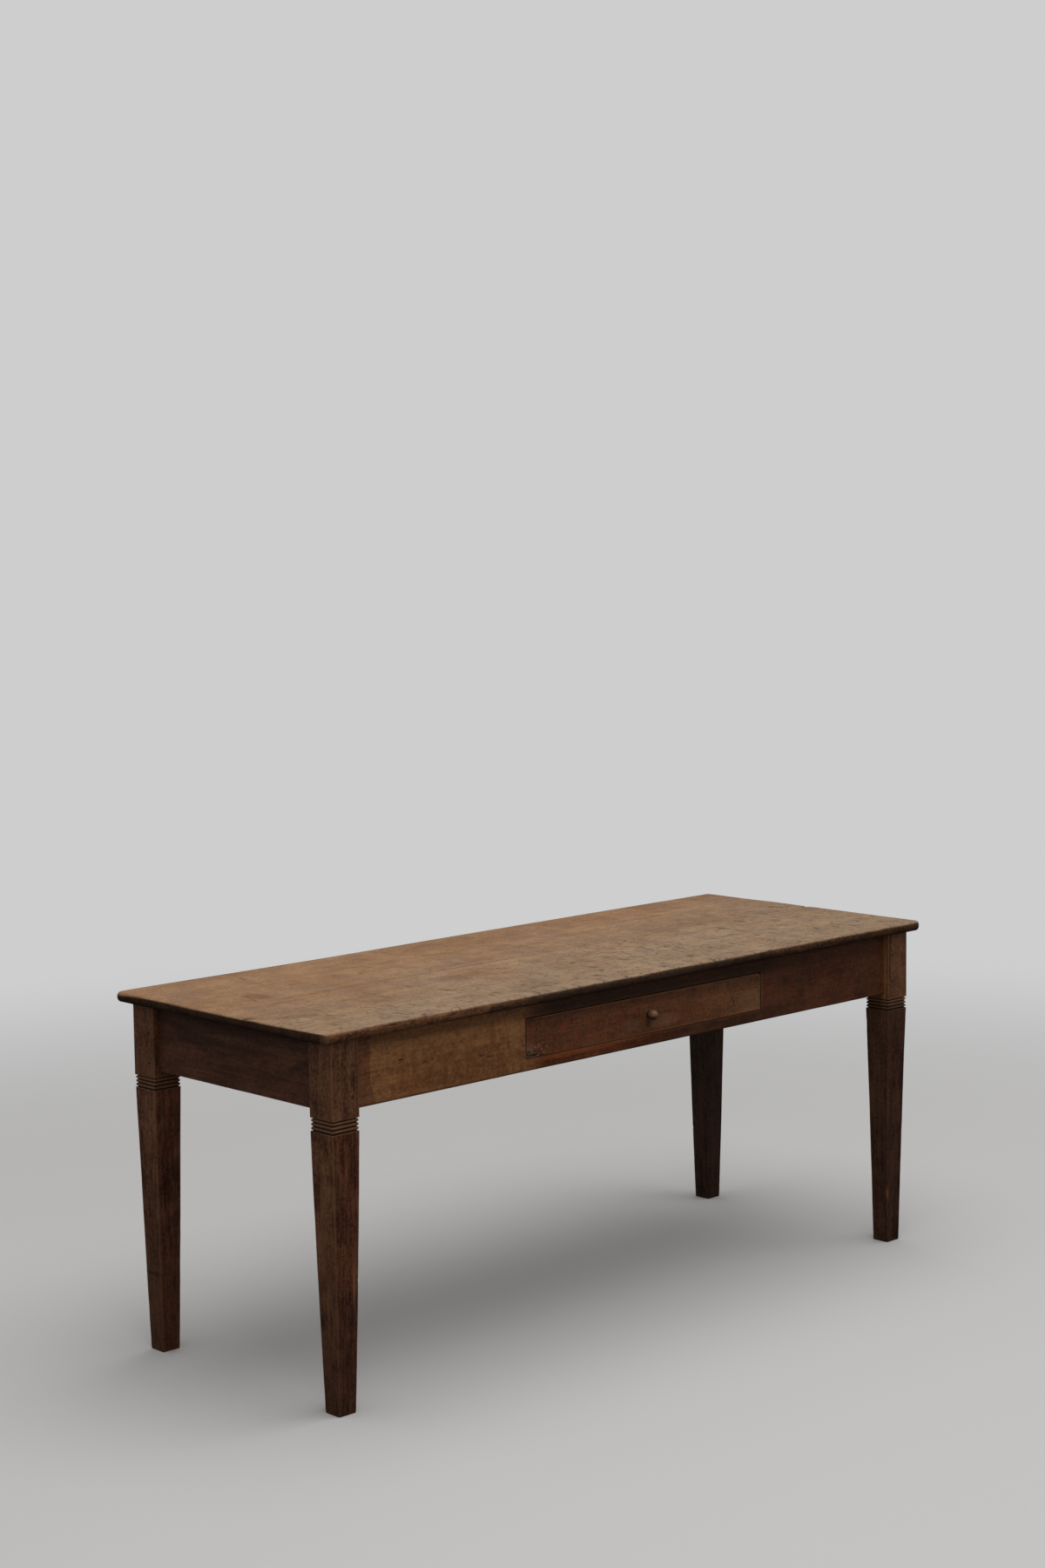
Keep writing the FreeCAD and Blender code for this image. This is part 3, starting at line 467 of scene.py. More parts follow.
class Layer(NamedTuple):
    """Noise in a finish: its waves in a metre along the grain and the two other axes, its detail and
    distortion, and the levels between which it shows."""

    scale: tuple
    detail: float
    distortion: float = 0.0
    low: float = 0.0
    high: float = 1.0


def even(count, *settings):
    """A layer with the same count of waves in a metre along all axes."""
    return Layer((count,) * 3, *settings)


def grained(along, across, *settings):
    """A layer that is drawn out along the grain."""
    return Layer((along, across, across), *settings)


# Layers of every wood.
STREAKS = grained(1.2, 15, 3, 0.8)
FIGURE = grained(4, 66, 3, 0.5)
STRIPES = grained(13, 190, 3, 0.3)
FIBRES = grained(22, 520, 2)
PORES = grained(70, 1100, 1, 0.0, 0.56, 0.68)
PATCHES = even(6.5, 4)
BLOTS = even(26, 4)
GRIT = even(165, 2)


class Finish(Graph):
    """A material on an object's own coordinates."""

    def __init__(self, name):
        self.owner = bpy.data.materials.new(name)
        self.owner.use_nodes = True
        super().__init__(self.owner.node_tree)
        self.tree.nodes.clear()
        self.place = self.node("ShaderNodeTexCoord", out="Object")

    def shifted(self, seed):
        """The place, moved by a seed so that no two finishes are alike."""
        return self.vector("ADD", self.place, [seed * shift for shift in SEED_SHIFT])

    def close(self, shader):
        """Gives the material its surface and hands it out."""
        self.node("ShaderNodeOutputMaterial", None, {"Surface": shader})
        return self.owner


class Wood(Finish):
    """A wood's material and the layers that all woods here share, with the grain along one axis."""

    def __init__(self, name, axis, seed):
        super().__init__(name)
        self.x, self.y, self.z = self.split(self.place)
        self.axis = "XYZ".index(axis)
        self.origin = self.shifted(seed)
        self.streaks = self.drawn(STREAKS)
        self.figure = self.drawn(FIGURE)
        self.stripes = self.drawn(STRIPES)
        self.fibres = self.drawn(FIBRES)
        self.pores = self.shows(PORES)
        self.patches = self.drawn(PATCHES)
        self.blots = self.drawn(BLOTS)
        self.grit = self.drawn(GRIT)
        self.arris = self.attribute("arris")
        self.hollow = self.attribute("hollow")

    def drawn(self, layer):
        """A layer's noise."""
        scale = list(layer.scale[1:])
        scale.insert(self.axis, layer.scale[0])
        return self.noise(self.vector("MULTIPLY", self.origin, scale), 1, layer.detail, layer.distortion)

    def shows(self, layer):
        """Where a layer's noise shows, from 0 to 1."""
        return self.rise(self.drawn(layer), layer.low, layer.high)

    def specks(self, scale, core, rim):
        """Round specks, so many in a metre along each axis, that fade from their core to their rim."""
        return self.fall(self.spots(self.vector("MULTIPLY", self.origin, scale), 1), core, rim)

    def chance(self, **reaches):
        """Chance about zero from some of the wood's layers, each with its reach."""
        parts = [(getattr(self, layer) - 0.5) * reach for layer, reach in reaches.items()]
        return sum(parts[1:], parts[0])

    def near(self, core=0.3, **spans):
        """1 at a place, falling to 0 around it; each span is an axis with the place's middle and reach."""
        squares = [((getattr(self, axis) - middle) / reach) ** 2.0
                   for axis, (middle, reach) in spans.items()]
        return self.fall(sum(squares[1:], squares[0]) + self.chance(blots=1.2), core, core + 1)

    def lay(self, base, over, mask, share):
        """The base with another colour over it: as much as the mask says, up to the share."""
        return self.mix(mask * share, base, over)

    def tone(self, base, contrast=0.42, patches=0.5, streaks=1.3, figure=1.5, stripes=1.0):
        """The base colour with the wood's streaks, fibres and patches in it."""
        darker = [c * (1 - contrast * k) for c, k in zip(base, DARK_HUE)]
        lighter = [c * (1 + contrast * k) for c, k in zip(base, LIGHT_HUE)]
        share = 0.5 + self.chance(streaks=streaks, figure=figure, stripes=stripes, patches=patches,
                                  fibres=0.9, blots=0.8, grit=1.6)
        return self.mix(share, darker, lighter)

    def weather(self, base, worn, wear=0.45, pore=0.45, spread=1.5):
        """Adds dark pores, bare worn arrises and grime in the hollows."""
        bare = self.rise(self.arris * (self.blots + self.patches - BARE_LEVEL) * spread, BARE_LEVEL, 1.0)
        darkening = self.rise(self.hollow + self.chance(blots=0.5), *DIRT_LEVELS)
        inked = self.lay(base, GRIME_AND_SHADE, self.pores, share=pore)
        rubbed = self.lay(inked, worn, bare, share=wear)
        return self.lay(rubbed, GRIME_AND_SHADE, darkening, share=0.85)

    def finish(self, base, roughness, relief=RELIEF, height=0.0, gloss=0.20):
        """Closes the material with its sheen and its relief."""
        grain = self.fibres * 0.5 + self.figure * 0.35 + self.blots * 0.35 - self.pores * 0.7
        bump = self.node("ShaderNodeBump", None,
                         {"Strength": BUMP_STRENGTH, "Distance": relief, "Height": grain + height})
        sheen = roughness + self.chance(patches=0.22, fibres=0.12) + self.pores * 0.12
        sockets = {"Base Color": base, "Roughness": sheen, "Normal": bump, "Specular IOR Level": gloss}
        return self.close(self.node("ShaderNodeBsdfPrincipled", None, sockets))


# The top's layers and specks.
TOP_MOTTLE = Layer((17, 8, 1), 4, 0.6)
HAZE_LEVELS, GLOW_LEVELS = (0.48, 0.70), (0.30, 0.50)
TOP_GRAIN = grained(34, 170, 3, 0.5, 0.50, 0.68)
TOP_FLECKS = grained(42, 120, 3, 0.6, 0.58, 0.70)
TOP_DASHES = grained(11, 210, 2, 0.3, 0.58, 0.72)
TOP_CHOPS = Layer((84, 24, 1), 3, 0.8, 0.58, 0.68)
TOP_CHIPS = Layer((48, 30, 110), 3, 0.5, 0.54, 0.66)
TOP_SPECKS = ((24, 50, 50), 0.06, 0.17)
# Places on the top: for each axis, the middle and the reach.
TOP_STAIN = {"x": (0.42, 0.14), "y": (-0.11, 0.09)}
TOP_KNOT = {"x": (-0.742, 0.026), "y": (0.066, 0.040)}
TOP_TIP = {"x": (LEFT_END + 0.006, 0.012), "y": (FRONT_EDGE + 0.004, 0.012)}
# Where the joint between the boards opens and closes again along the top.
JOINT_OPENS, JOINT_CLOSES = (-0.64, -0.52), (-0.16, 0.06)
# How much further in or out the dark finish of the ends begins, from the front edge to so far behind it.
END_ROLL, END_ROLL_REACH = (0.10, -0.17), 0.12
# How far in from an end its dark finish starts and is full, as shares of the corner's radius.
END_START, END_FULL = 1.1, 0.15
# Levels of the rim between which the corner's tip, the painted shade on the lower edge and the underside
# begin.
TIP_RIM, DARK_RIM, UNDER_RIM = (0.9, 1.2), (0.92, 1.25), (1.4, 1.8)
# Where the finish of the front edge is rubbed towards the left and the right end.
RUBBED_LEFT, RUBBED_RIGHT = (0.22, 0.66), (0.22, 0.50)
# How the top's marked part grows towards the front and right, and its levels.
MARKED_Y, MARKED_X, MARKED_LEVELS = -1.6, 0.34, (-0.42, 0.42)
MARK_LEVELS, SEAM_LEVELS = (0.2, 1.2), (0.70, 1.15)


def top_rim(wood, base, look):
    """Adds the top's edges: old dark finish, rubbed and chipped, painted shade below, and the bare
    underside.
    """
    rim = wood.attribute("rim")
    end = wood.rise(abs(wood.x), RIGHT_END - look.corner * END_START, RIGHT_END - look.corner * END_FULL)
    rolled = wood.ramp(wood.y, FRONT_EDGE, FRONT_EDGE + END_ROLL_REACH, *END_ROLL) * end
    chance = wood.chance(blots=0.3, patches=0.3, grit=0.16) * (1 - end * 0.75)
    edge = wood.rise(rim + rolled + chance, 0.55 + end * 0.14, 0.92 - end * 0.06)
    tip = wood.near(**TOP_TIP) * wood.rise(rim, *TIP_RIM)
    worn = wood.chance(blots=0.5, streaks=0.4)
    left, right = wood.rise(worn - wood.x, *RUBBED_LEFT), wood.rise(worn + wood.x, *RUBBED_RIGHT)
    rubbed = wood.math("MAXIMUM", left, right * 0.4) * (1 - end * 0.9)
    old = wood.mix(rubbed, wood.tone(look.rim, contrast=0.4), wood.tone(look.warm, contrast=0.7))
    old = wood.lay(old, GRIME_AND_SHADE, wood.shows(TOP_CHIPS), share=0.6)
    base = wood.lay(base, old, edge, share=0.96 - tip * 0.3)
    # Painted shade on the lower bend of the edges, stronger on the ends.
    dark = wood.rise(rim + wood.chance(blots=0.3), *DARK_RIM)
    base = wood.lay(base, GRIME_AND_SHADE, dark, share=0.32 + end * 0.3)
    return wood.mix(wood.rise(rim, *UNDER_RIM), base, wood.tone(look.under, contrast=0.3))


def top_wood(look):
    """Scrubbed, faded boards: tan at the back, greyer and more marked at the front and right."""
    wood = Wood("scrubbed_top_wood", "X", 3)
    slope = wood.y * MARKED_Y + wood.x * MARKED_X
    marked = wood.rise(slope + wood.chance(patches=0.9), *MARKED_LEVELS)
    faint = {"contrast": 0.26, "figure": 0.8, "stripes": 0.2}
    base = wood.mix(marked, wood.tone(look.tan, patches=1.2, streaks=1.1, **faint),
                    wood.tone(look.grey, patches=1.1, streaks=0.9, **faint))
    mottle = wood.drawn(TOP_MOTTLE)
    base = wood.lay(base, look.haze, wood.rise(mottle, *HAZE_LEVELS), share=0.42)
    base = wood.lay(base, look.glow, wood.fall(mottle, *GLOW_LEVELS), share=0.36)
    base = wood.lay(base, look.grain, wood.shows(TOP_GRAIN), share=0.12 + marked * 0.24)
    flecks = wood.shows(TOP_FLECKS) * (0.2 + marked * 0.8)
    dashes = wood.shows(TOP_DASHES) * (0.25 + marked * 0.5)
    chops = wood.shows(TOP_CHOPS) * (0.12 + marked * 0.88)
    specks = wood.specks(*TOP_SPECKS) * (0.2 + marked * 0.5)
    darkening = flecks * 0.26 + dashes * 0.16 + chops * 0.55 + specks
    base = wood.mix(darkening, base, look.fleck)
    ragged = 0.0
    for x, y, reach_x, reach_y, lean, strength in TOP_MARKS:
        off_y = wood.y - y
        spread = ((wood.x - x - off_y * lean) / reach_x) ** 2.0 + (off_y / reach_y) ** 2.0
        ragged = ragged + wood.fall(spread + wood.chance(blots=1.6), *MARK_LEVELS) * strength
    stained = wood.mix(wood.near(**TOP_STAIN), look.fleck, look.stain)
    base = wood.lay(base, stained, ragged, share=0.8)
    base = wood.lay(base, look.grain, wood.near(**TOP_KNOT), share=0.25 + wood.fibres * 0.5)
    opened = wood.rise(wood.x, *JOINT_OPENS) * wood.fall(wood.x, *JOINT_CLOSES)
    seam = wood.attribute("seam") * wood.rise(wood.streaks + wood.blots, *SEAM_LEVELS)
    base = wood.lay(base, look.grain, seam, share=0.2 + opened * 0.6)
    base = wood.lay(top_rim(wood, base, look), look.fleck, wood.pores, share=0.3)
    height = ragged * -0.8 - darkening * 0.7
    return wood.finish(base, SCRUBBED_SHEEN, relief=SCRUBBED_RELIEF, height=height, gloss=0.06)


LEG_SCUFFS = grained(9, 90, 3, 0.5, 0.53, 0.70)
LEG_STAINS = grained(9, 22, 3, 0.6, 0.54, 0.72)
# The height below which the legs get painted shade towards the floor, and their side faces grow redder.
LEG_DARK_BELOW = 0.5
# How far from a groove's middle its dirt begins to fade and ends, as shares of the groove's height.
GROOVE_CORE, GROOVE_RIM = 0.45, 0.95


def leg_wood(look):
    """Old brown finish on the legs, redder to the front and back, bare on the arrises; painted shade and
    light.
    """
    wood = Wood("leg_wood", "Z", 7)
    front, mark, dull = (wood.attribute(name) for name in ("front", "mark", "dull"))
    pitch = look.reed + look.groove
    bottom = LEFT_LEG[1].z - look.block_height - look.band_height
    block = wood.rise(wood.z, bottom, bottom + look.band_height)
    low = wood.fall(wood.z + wood.chance(patches=0.2), 0.0, LEG_DARK_BELOW)
    ruddy = front * (1 - block * 0.75) + (1 - front) * low * 0.45
    fibrous = {"patches": 1.3, "streaks": 0.8, "stripes": 1.7 - block * 0.9}
    base = wood.mix(ruddy, wood.tone(look.brown, contrast=0.62, figure=0.9, **fibrous),
                    wood.tone(look.red, contrast=0.66, figure=1.0, **fibrous))
    base = wood.lay(base, look.worn, wood.shows(LEG_SCUFFS), share=0.55)
    stains = wood.shows(LEG_STAINS) * (0.55 - block * 0.30)
    base = wood.mix(stains + mark * 0.85, base, GRIME_AND_SHADE)
    base = wood.weather(base, look.worn, wear=0.55, spread=2.0)
    # Painted shade towards the floor, and painted shade on the shafts of the far legs.
    base = wood.lay(base, GRIME_AND_SHADE, low, share=0.47 - dull * 0.57)
    base = wood.mix(dull * (1 - block), base, wood.tone(look.dull, contrast=0.8, patches=1.6))
    # Pale marks lay bare wood; the two on the front right leg's block are painted light.
    base = wood.lay(base, look.bare, mark, share=-0.6)
    from_groove = abs(wood.math("WRAP", wood.z - (bottom + look.groove / 2), pitch / 2, -pitch / 2))
    groove = wood.fall(from_groove, look.groove * GROOVE_CORE, look.groove * GROOVE_RIM)
    groove = groove * (wood.z > bottom - look.groove) * (wood.z < bottom + look.band_height + look.groove)
    return wood.finish(wood.lay(base, GRIME_AND_SHADE, groove, share=0.9), OLD_SHEEN)


APRON_STAINS = grained(5, 24, 3, 0.6, 0.56, 0.74)
# The heights between which a plain apron gets painted shade under the top.
APRON_SHADE = (OPENING_TOP - 0.012, OPENING_TOP + 0.020)


def apron_wood(name, axis, seed, base_colour, look):
    """Old brown finish on a plain apron, with painted shade under the top."""
    wood = Wood(name, axis, seed)
    base = wood.tone(base_colour, patches=1.5, streaks=0.8)
    base = wood.lay(base, GRIME_AND_SHADE, wood.shows(APRON_STAINS), share=0.5)
    # Painted shade under the top's overhang.
    shade = wood.rise(wood.z + wood.chance(blots=0.03), *APRON_SHADE)
    base = wood.lay(base, GRIME_AND_SHADE, shade, share=0.62)
    return wood.finish(wood.weather(base, look.worn), OLD_SHEEN)


# The front apron's layers and specks.
DULL_PATCHES, DULL_UPRIGHT = even(22, 3), Layer((60, 1, 10), 3, 0.4)
DULL_LEVELS, SAP_LEVELS = (0.48, 0.68), (-0.17, 0.10)
SAP_CHATTER, SAP_MOTTLE = Layer((85, 1, 9), 2, 0.4), even(75, 3)
FRONT_STAINS = grained(7, 18, 3, 0.6, 0.58, 0.76)
FRONT_SPECKS = ((27, 60, 60), 0.05, 0.14)
# The sapwood's border beside the near leg: its place, how far it leans between two heights, its waves.
SAP_OFFSET, SAP_LEAN, SAP_LEAN_HEIGHTS = 0.051, 0.013, (0.598, 0.645)
SAP_WAVE, SAP_WAVES, SAP_EDGE = 0.008, 22, 0.003
# Where the front apron's finish and its painted shade change along x.
SAP_END = (OPENING_LEFT - 0.030, OPENING_LEFT + 0.070)
RAIL_START, RAIL_END = (OPENING_LEFT - 0.05, OPENING_LEFT + 0.02), (-0.04, 0.18)
SHELF_START, SHELF_END = (-0.08, 0.10), (0.36, 0.48)
DUSK_START, DUSK_END = (OPENING_LEFT - 0.010, OPENING_LEFT + 0.090), (0.33, 0.52)
# Where it changes in height: over the rail, in the painted shade of the strip above the drawer, at its
# foot.
RAIL_TOP = (OPENING_BOTTOM - 0.002, OPENING_BOTTOM + 0.004)
SHADE_EDGE, SHADE_LIFT = (OPENING_TOP - 0.016, OPENING_TOP + 0.003), 0.012
SHADE_TOP = (OPENING_TOP + 0.010, BOXES["apron_front"][1].z)
APRON_FOOT = (BOXES["apron_front"][0].z + 0.001, BOXES["apron_front"][0].z + 0.006)
GAP_FOOT = (OPENING_BOTTOM - 0.003, OPENING_BOTTOM + 0.003)
RAIL_BRIGHT = {"x": (-0.20, 0.19), "z": (OPENING_BOTTOM, 0.012)}
SAP_RUDDY = {"x": (-0.56, 0.17), "z": (0.645, 0.06)}
# The width of the painted shade along the gap round the drawer front.
GAP_SHADE = 0.0020


def sapwood(wood, look):
    """Golden sapwood with ruddy patches and the plane's chatter marks."""
    ruddy = (wood.drawn(SAP_CHATTER) * 0.35 + wood.patches * 0.5 + wood.blots * 0.4
             + wood.drawn(SAP_MOTTLE) * 0.6 + wood.near(**SAP_RUDDY) * 0.12 - wood.z * 1.6)
    gold = wood.tone(look.gold, contrast=0.36, patches=0.9, streaks=0.8, figure=1.2, stripes=0.5)
    orange = wood.tone(look.orange, contrast=0.40, patches=0.9, stripes=0.5)
    return wood.lay(gold, orange, wood.rise(ruddy, *SAP_LEVELS), share=0.50)


def front_apron_wood(look):
    """The front apron: sapwood left of the drawer, rubbed rail under it, reddish brown right, painted shade
    above.
    """
    wood = Wood("front_apron_wood", "X", 5)
    border = LEFT_LEG[1].x + SAP_OFFSET - wood.rise(wood.z, *SAP_LEAN_HEIGHTS) * SAP_LEAN
    border = border + (wood.noise(wood.place, SAP_WAVES, 1) - 0.5) * SAP_WAVE
    along = wood.x + wood.chance(blots=0.06, patches=0.06)
    strip = wood.fall(wood.x - border, 0.0, SAP_EDGE)
    sap = (1 - strip) * wood.fall(along, *SAP_END)
    below = wood.fall(wood.z, *RAIL_TOP)
    rail = below * wood.rise(along, *RAIL_START) * wood.fall(wood.x + wood.chance(patches=0.3), *RAIL_END)
    dull = wood.rise(wood.drawn(DULL_PATCHES) + (wood.drawn(DULL_UPRIGHT) - 0.5) * 0.8, *DULL_LEVELS)
    base = wood.tone(look.brown, contrast=0.46, patches=1.6, streaks=0.4, figure=0.7)
    base = wood.lay(base, look.olive, dull, share=0.55)
    base = wood.mix(rail, base, wood.tone(look.orange, contrast=0.46, patches=1.2))
    bright = wood.tone(look.bright, contrast=0.4, patches=1.0)
    base = wood.lay(base, bright, wood.near(**RAIL_BRIGHT) * rail, share=0.7)
    base = wood.mix(strip, base, wood.tone(look.strip, contrast=0.40, patches=1.0))
    base = wood.mix(sap, base, sapwood(wood, look))

    # Painted shade under the top's overhang, strongest over the drawer, fading to the left and towards the
    # right end.
    dusk, right = wood.rise(along, *DUSK_START), wood.rise(wood.x, *DUSK_END)
    shade = wood.rise(wood.z + wood.chance(blots=0.03) - (1 - dusk) * SHADE_LIFT, *SHADE_EDGE)
    shade = shade * (1 - wood.rise(wood.z, *SHADE_TOP) * 0.7)
    dusk = dusk * (1 - right * 0.8) * (0.66 + wood.figure * 0.4)
    shade = shade * (0.46 + dusk * 0.38 - strip * 0.30 - right * 0.28)
    shelf = below * wood.rise(wood.x, *SHELF_START) * (1 - wood.rise(wood.x, *SHELF_END) * 0.8)
    base = wood.lay(wood.mix(shade, base, DARK_BROWN), DARK_BROWN, shelf, share=0.38)

    spots = 0.0
    for x, z, reach_x, reach_z, strength in APRON_SPOTS:
        spots = spots + wood.near(core=0.2, x=(x, reach_x), z=(z, reach_z)) * strength
    stains = wood.shows(FRONT_STAINS) * 0.30 * (1 - sap * 0.6 - strip * 0.7)
    specks = wood.specks(*FRONT_SPECKS) * (0.6 - sap * 0.3)
    base = wood.mix(stains + specks + spots, base, GRIME_AND_SHADE)
    wear = 0.6 - shade * 0.5 - shelf * 0.4
    base = wood.weather(base, look.worn, wear=wear, pore=0.45 - sap * 0.2, spread=2.4)
    base = wood.lay(base, GRIME_AND_SHADE, wood.fall(wood.z, *APRON_FOOT), share=0.55)
    # Painted shade along the gap round the drawer, none below it.
    beside = wood.math("MAXIMUM", OPENING_LEFT - wood.x, wood.x - OPENING_RIGHT)
    above = wood.math("MAXIMUM", OPENING_BOTTOM - wood.z, wood.z - OPENING_TOP)
    gap = wood.fall(wood.math("MAXIMUM", beside, above), GAP_SHADE * 0.3, GAP_SHADE)
    gap = gap * wood.rise(wood.z, *GAP_FOOT)
    return wood.finish(wood.mix(gap * (0.4 + wood.blots), base, GRIME_AND_SHADE), OLD_SHEEN)


# The drawer front's layers and specks.
DRAWER_STAINS = even(24, 3, 0.0, 0.58, 0.74)
DRAWER_CHATTER, CHATTER_LEVELS = Layer((110, 1, 10), 2, 0.4), (0.45, 0.70)
DRAWER_RUDDY, RUDDY_LEVELS = even(62, 3), (0.50, 0.66)
DRAWER_OLIVE, OLIVE_SHIFT = even(36, 3, 0.0, 0.52, 0.68), (5.1, 2.3, 7.7)
DRAWER_PEPPER = Layer((150, 1, 110), 2, 0.0, 0.58, 0.70)
DRAWER_SPECKS = ((60, 1, 75), 0.08, 0.20)
SPLINTER_GRAIN = grained(8, 130, 2, 0.0, 0.28, 0.50)
CRUMBS = ((105, 1, 140), 0.18, 0.40)
# Places on the drawer front.
SPECKED_PLACE = {"x": (0.29, 0.11), "z": (0.668, 0.032)}
SMEARED_PLACE = {"x": (-0.043, 0.030), "z": (0.643, 0.012)}
LIT_END = {"x": (0.335, 0.050), "z": (0.640, 0.028)}
LIT_MIDDLE = {"x": (0.060, 0.050), "z": (0.640, 0.016)}
STAIN_AND_SHADOW_BY_KNOB = {"x": (0.009, 0.008), "z": (0.642, 0.013)}
SMALL_HOLE = {"x": (-0.318, 0.003), "z": (0.674, 0.003)}
CORNER_NOTCH = {"x": (DRAWER_LOW.x + 0.003, 0.006), "z": (DRAWER_LOW.z + 0.004, 0.007)}
CRUMBLED_PLACE = {"x": (DRAWER_LOW.x + 0.022, 0.040), "z": (DRAWER_LOW.z + 0.016, 0.022)}
# Where its finish and its painted shade change: along x, in height, and in height over its lower edge.
PALE_START, LIP_START = (0.04, 0.32), (-0.14, 0.02)
GAP_UNDER_END = (DRAWER_LOW.x + 0.05, DRAWER_LOW.x + 0.16)
DRAWER_SHADE = (DRAWER_HIGH.z - 0.030, DRAWER_HIGH.z + 0.004)
LIP_HEIGHTS = (0.0008, 0.0040)


def drawer_front_wood(look):
    """The drawer front: reddish brown, rubbed at the right end, splintered low at the left, with painted
    shade.
    """
    wood = Wood("drawer_front_wood", "X", 9)
    pale = wood.rise(wood.x + wood.chance(patches=0.25), *PALE_START)
    plain = {"streaks": 0.5, "figure": 0.6}
    base = wood.tone(look.brown, contrast=0.46, patches=1.1, **plain)
    base = wood.lay(base, wood.tone(look.pale, contrast=0.36, patches=1.0, **plain), pale, share=0.8)
    base = wood.lay(base, GRIME_AND_SHADE, wood.shows(DRAWER_STAINS), share=0.25 + pale * 0.5)
    chatter = wood.drawn(DRAWER_CHATTER)
    planed = wood.tone(look.pale, contrast=0.4, patches=1.0)
    base = wood.lay(base, planed, wood.rise(chatter, *CHATTER_LEVELS), share=0.22)
    ruddy = wood.rise(wood.drawn(DRAWER_RUDDY) + (chatter - 0.5) * 0.15, *RUDDY_LEVELS)
    base = wood.lay(base, look.ruddy, ruddy, share=0.58 - pale * 0.2)
    elsewhere = wood.vector("ADD", wood.origin, OLIVE_SHIFT)
    olive = wood.noise(elsewhere, DRAWER_OLIVE.scale[0], DRAWER_OLIVE.detail)
    base = wood.lay(base, look.olive, wood.rise(olive, DRAWER_OLIVE.low, DRAWER_OLIVE.high), share=0.55)
    specks = wood.specks(*DRAWER_SPECKS) * wood.near(**SPECKED_PLACE)
    base = wood.mix(wood.shows(DRAWER_PEPPER) * 0.4 + specks * 0.85, base, GRIME_AND_SHADE)
    base = wood.lay(base, look.splinter, wood.near(**SMEARED_PLACE) * wood.fibres, share=0.5)
    lit = wood.near(**LIT_END) * 0.45 + wood.near(**LIT_MIDDLE) * 0.3
    lip = wood.fall(wood.z - DRAWER_LOW.z, *LIP_HEIGHTS) * wood.rise(wood.x, *LIP_START)
    base = wood.mix(lit * (0.5 + wood.figure) + lip * wood.blots, base, look.bright)
    # Painted shade under the top along the upper edge; below the knob a dark stain with painted shadow.
    shade = wood.rise(wood.z + wood.chance(blots=0.012), *DRAWER_SHADE)
    dark = wood.near(**STAIN_AND_SHADOW_BY_KNOB) * 0.45 + wood.near(**SMALL_HOLE) * 0.8 + shade * 0.36
    base = wood.mix(dark, base, GRIME_AND_SHADE)

    broken, grain = wood.attribute("broken"), wood.shows(SPLINTER_GRAIN)
    base = wood.lay(base, wood.mix(grain, GRIME_AND_SHADE, look.splinter), broken, share=0.9)
    base = wood.lay(base, look.crumb, wood.specks(*CRUMBS) * wood.near(**CRUMBLED_PLACE), share=0.7)
    base = wood.lay(base, GRIME_AND_SHADE, wood.near(**CORNER_NOTCH), share=0.9)
    base = wood.weather(base, look.pale, wear=0.7, spread=2.4)
    # Painted shade along the gap at the drawer front's top and ends, and under its left end.
    beside = wood.math("MINIMUM", wood.x - DRAWER_LOW.x, DRAWER_HIGH.x - wood.x)
    gap = wood.fall(wood.math("MINIMUM", beside, DRAWER_HIGH.z - wood.z), 0.0, GAP_SHADE * 0.6)
    under = wood.fall(wood.z - DRAWER_LOW.z, 0.0, GAP_SHADE * 0.6) * wood.fall(wood.x, *GAP_UNDER_END)
    base = wood.mix((gap + under * 0.6) * (0.25 + wood.blots), base, GRIME_AND_SHADE)
    return wood.finish(base, DRAWER_SHEEN, height=broken * grain)


# Where the knob gets painted shade, below its middle, and where it is darker, close to the drawer front.
KNOB_SHADE_BELOW = (-0.002, 0.006)
KNOB_ROOT = (DRAWER_LOW.y - 0.008, DRAWER_LOW.y - 0.002)


def knob_wood(look):
    """Handled, polished wood of the knob, with painted shade on its lower half."""
    wood = Wood("knob_wood", "Y", 13)
    middle = (BOXES["drawer_knob"][0].z + BOXES["drawer_knob"][1].z) / 2
    base = wood.weather(wood.tone(look.knob, contrast=0.25), look.knob, wear=0.2, pore=0.3)
    # Painted shade on the lower half of the knob, and darker close to the drawer front.
    darkening = wood.rise(middle - wood.z + wood.chance(blots=0.004), *KNOB_SHADE_BELOW) * 0.8
    close = wood.rise(wood.y, *KNOB_ROOT) * 0.6
    base = wood.mix(wood.math("MAXIMUM", darkening, close), base, GRIME_AND_SHADE)
    return wood.finish(base, KNOB_SHEEN, relief=KNOB_RELIEF, gloss=0.5)


PALER = 1.35
PLAIN_STAINS = (0.58, 0.80)


def plain_wood(name, axis, seed, base_colour):
    """Bare or dark wood of a hidden or small piece."""
    wood = Wood(name, axis, seed)
    stains = wood.rise(wood.patches + wood.chance(blots=0.4), *PLAIN_STAINS)
    base = wood.lay(wood.tone(base_colour, contrast=0.30, patches=0.7), GRIME_AND_SHADE, stains, share=0.4)
    pale = [min(1, c * PALER) for c in base_colour]
    return wood.finish(wood.weather(base, pale, wear=0.5, pore=0.35), PLAIN_SHEEN)


RUST_WAVES, RUST_LEVELS = 260, (0.42, 0.60)


def iron(look):
    """Dull iron with rust in patches."""
    metal = Finish("dull_iron")
    rusty = metal.rise(metal.noise(metal.shifted(17), RUST_WAVES, 4), *RUST_LEVELS)
    sockets = {"Base Color": metal.mix(rusty, look.iron, look.rust), "Metallic": 0.85 - rusty * 0.75,
               "Roughness": 0.45 + rusty * 0.35}
    return metal.close(metal.node("ShaderNodeBsdfPrincipled", None, sockets))


# Meshes.

MERGE = 1e-6
ON_FACE = 1e-5
FLAT, SHARP, SMOOTH = math.radians(0.5), math.radians(40), math.radians(38)
WEAR_RADIUS = 0.004
WEAR_PASSES = 2
SEED_STEP = 17.31
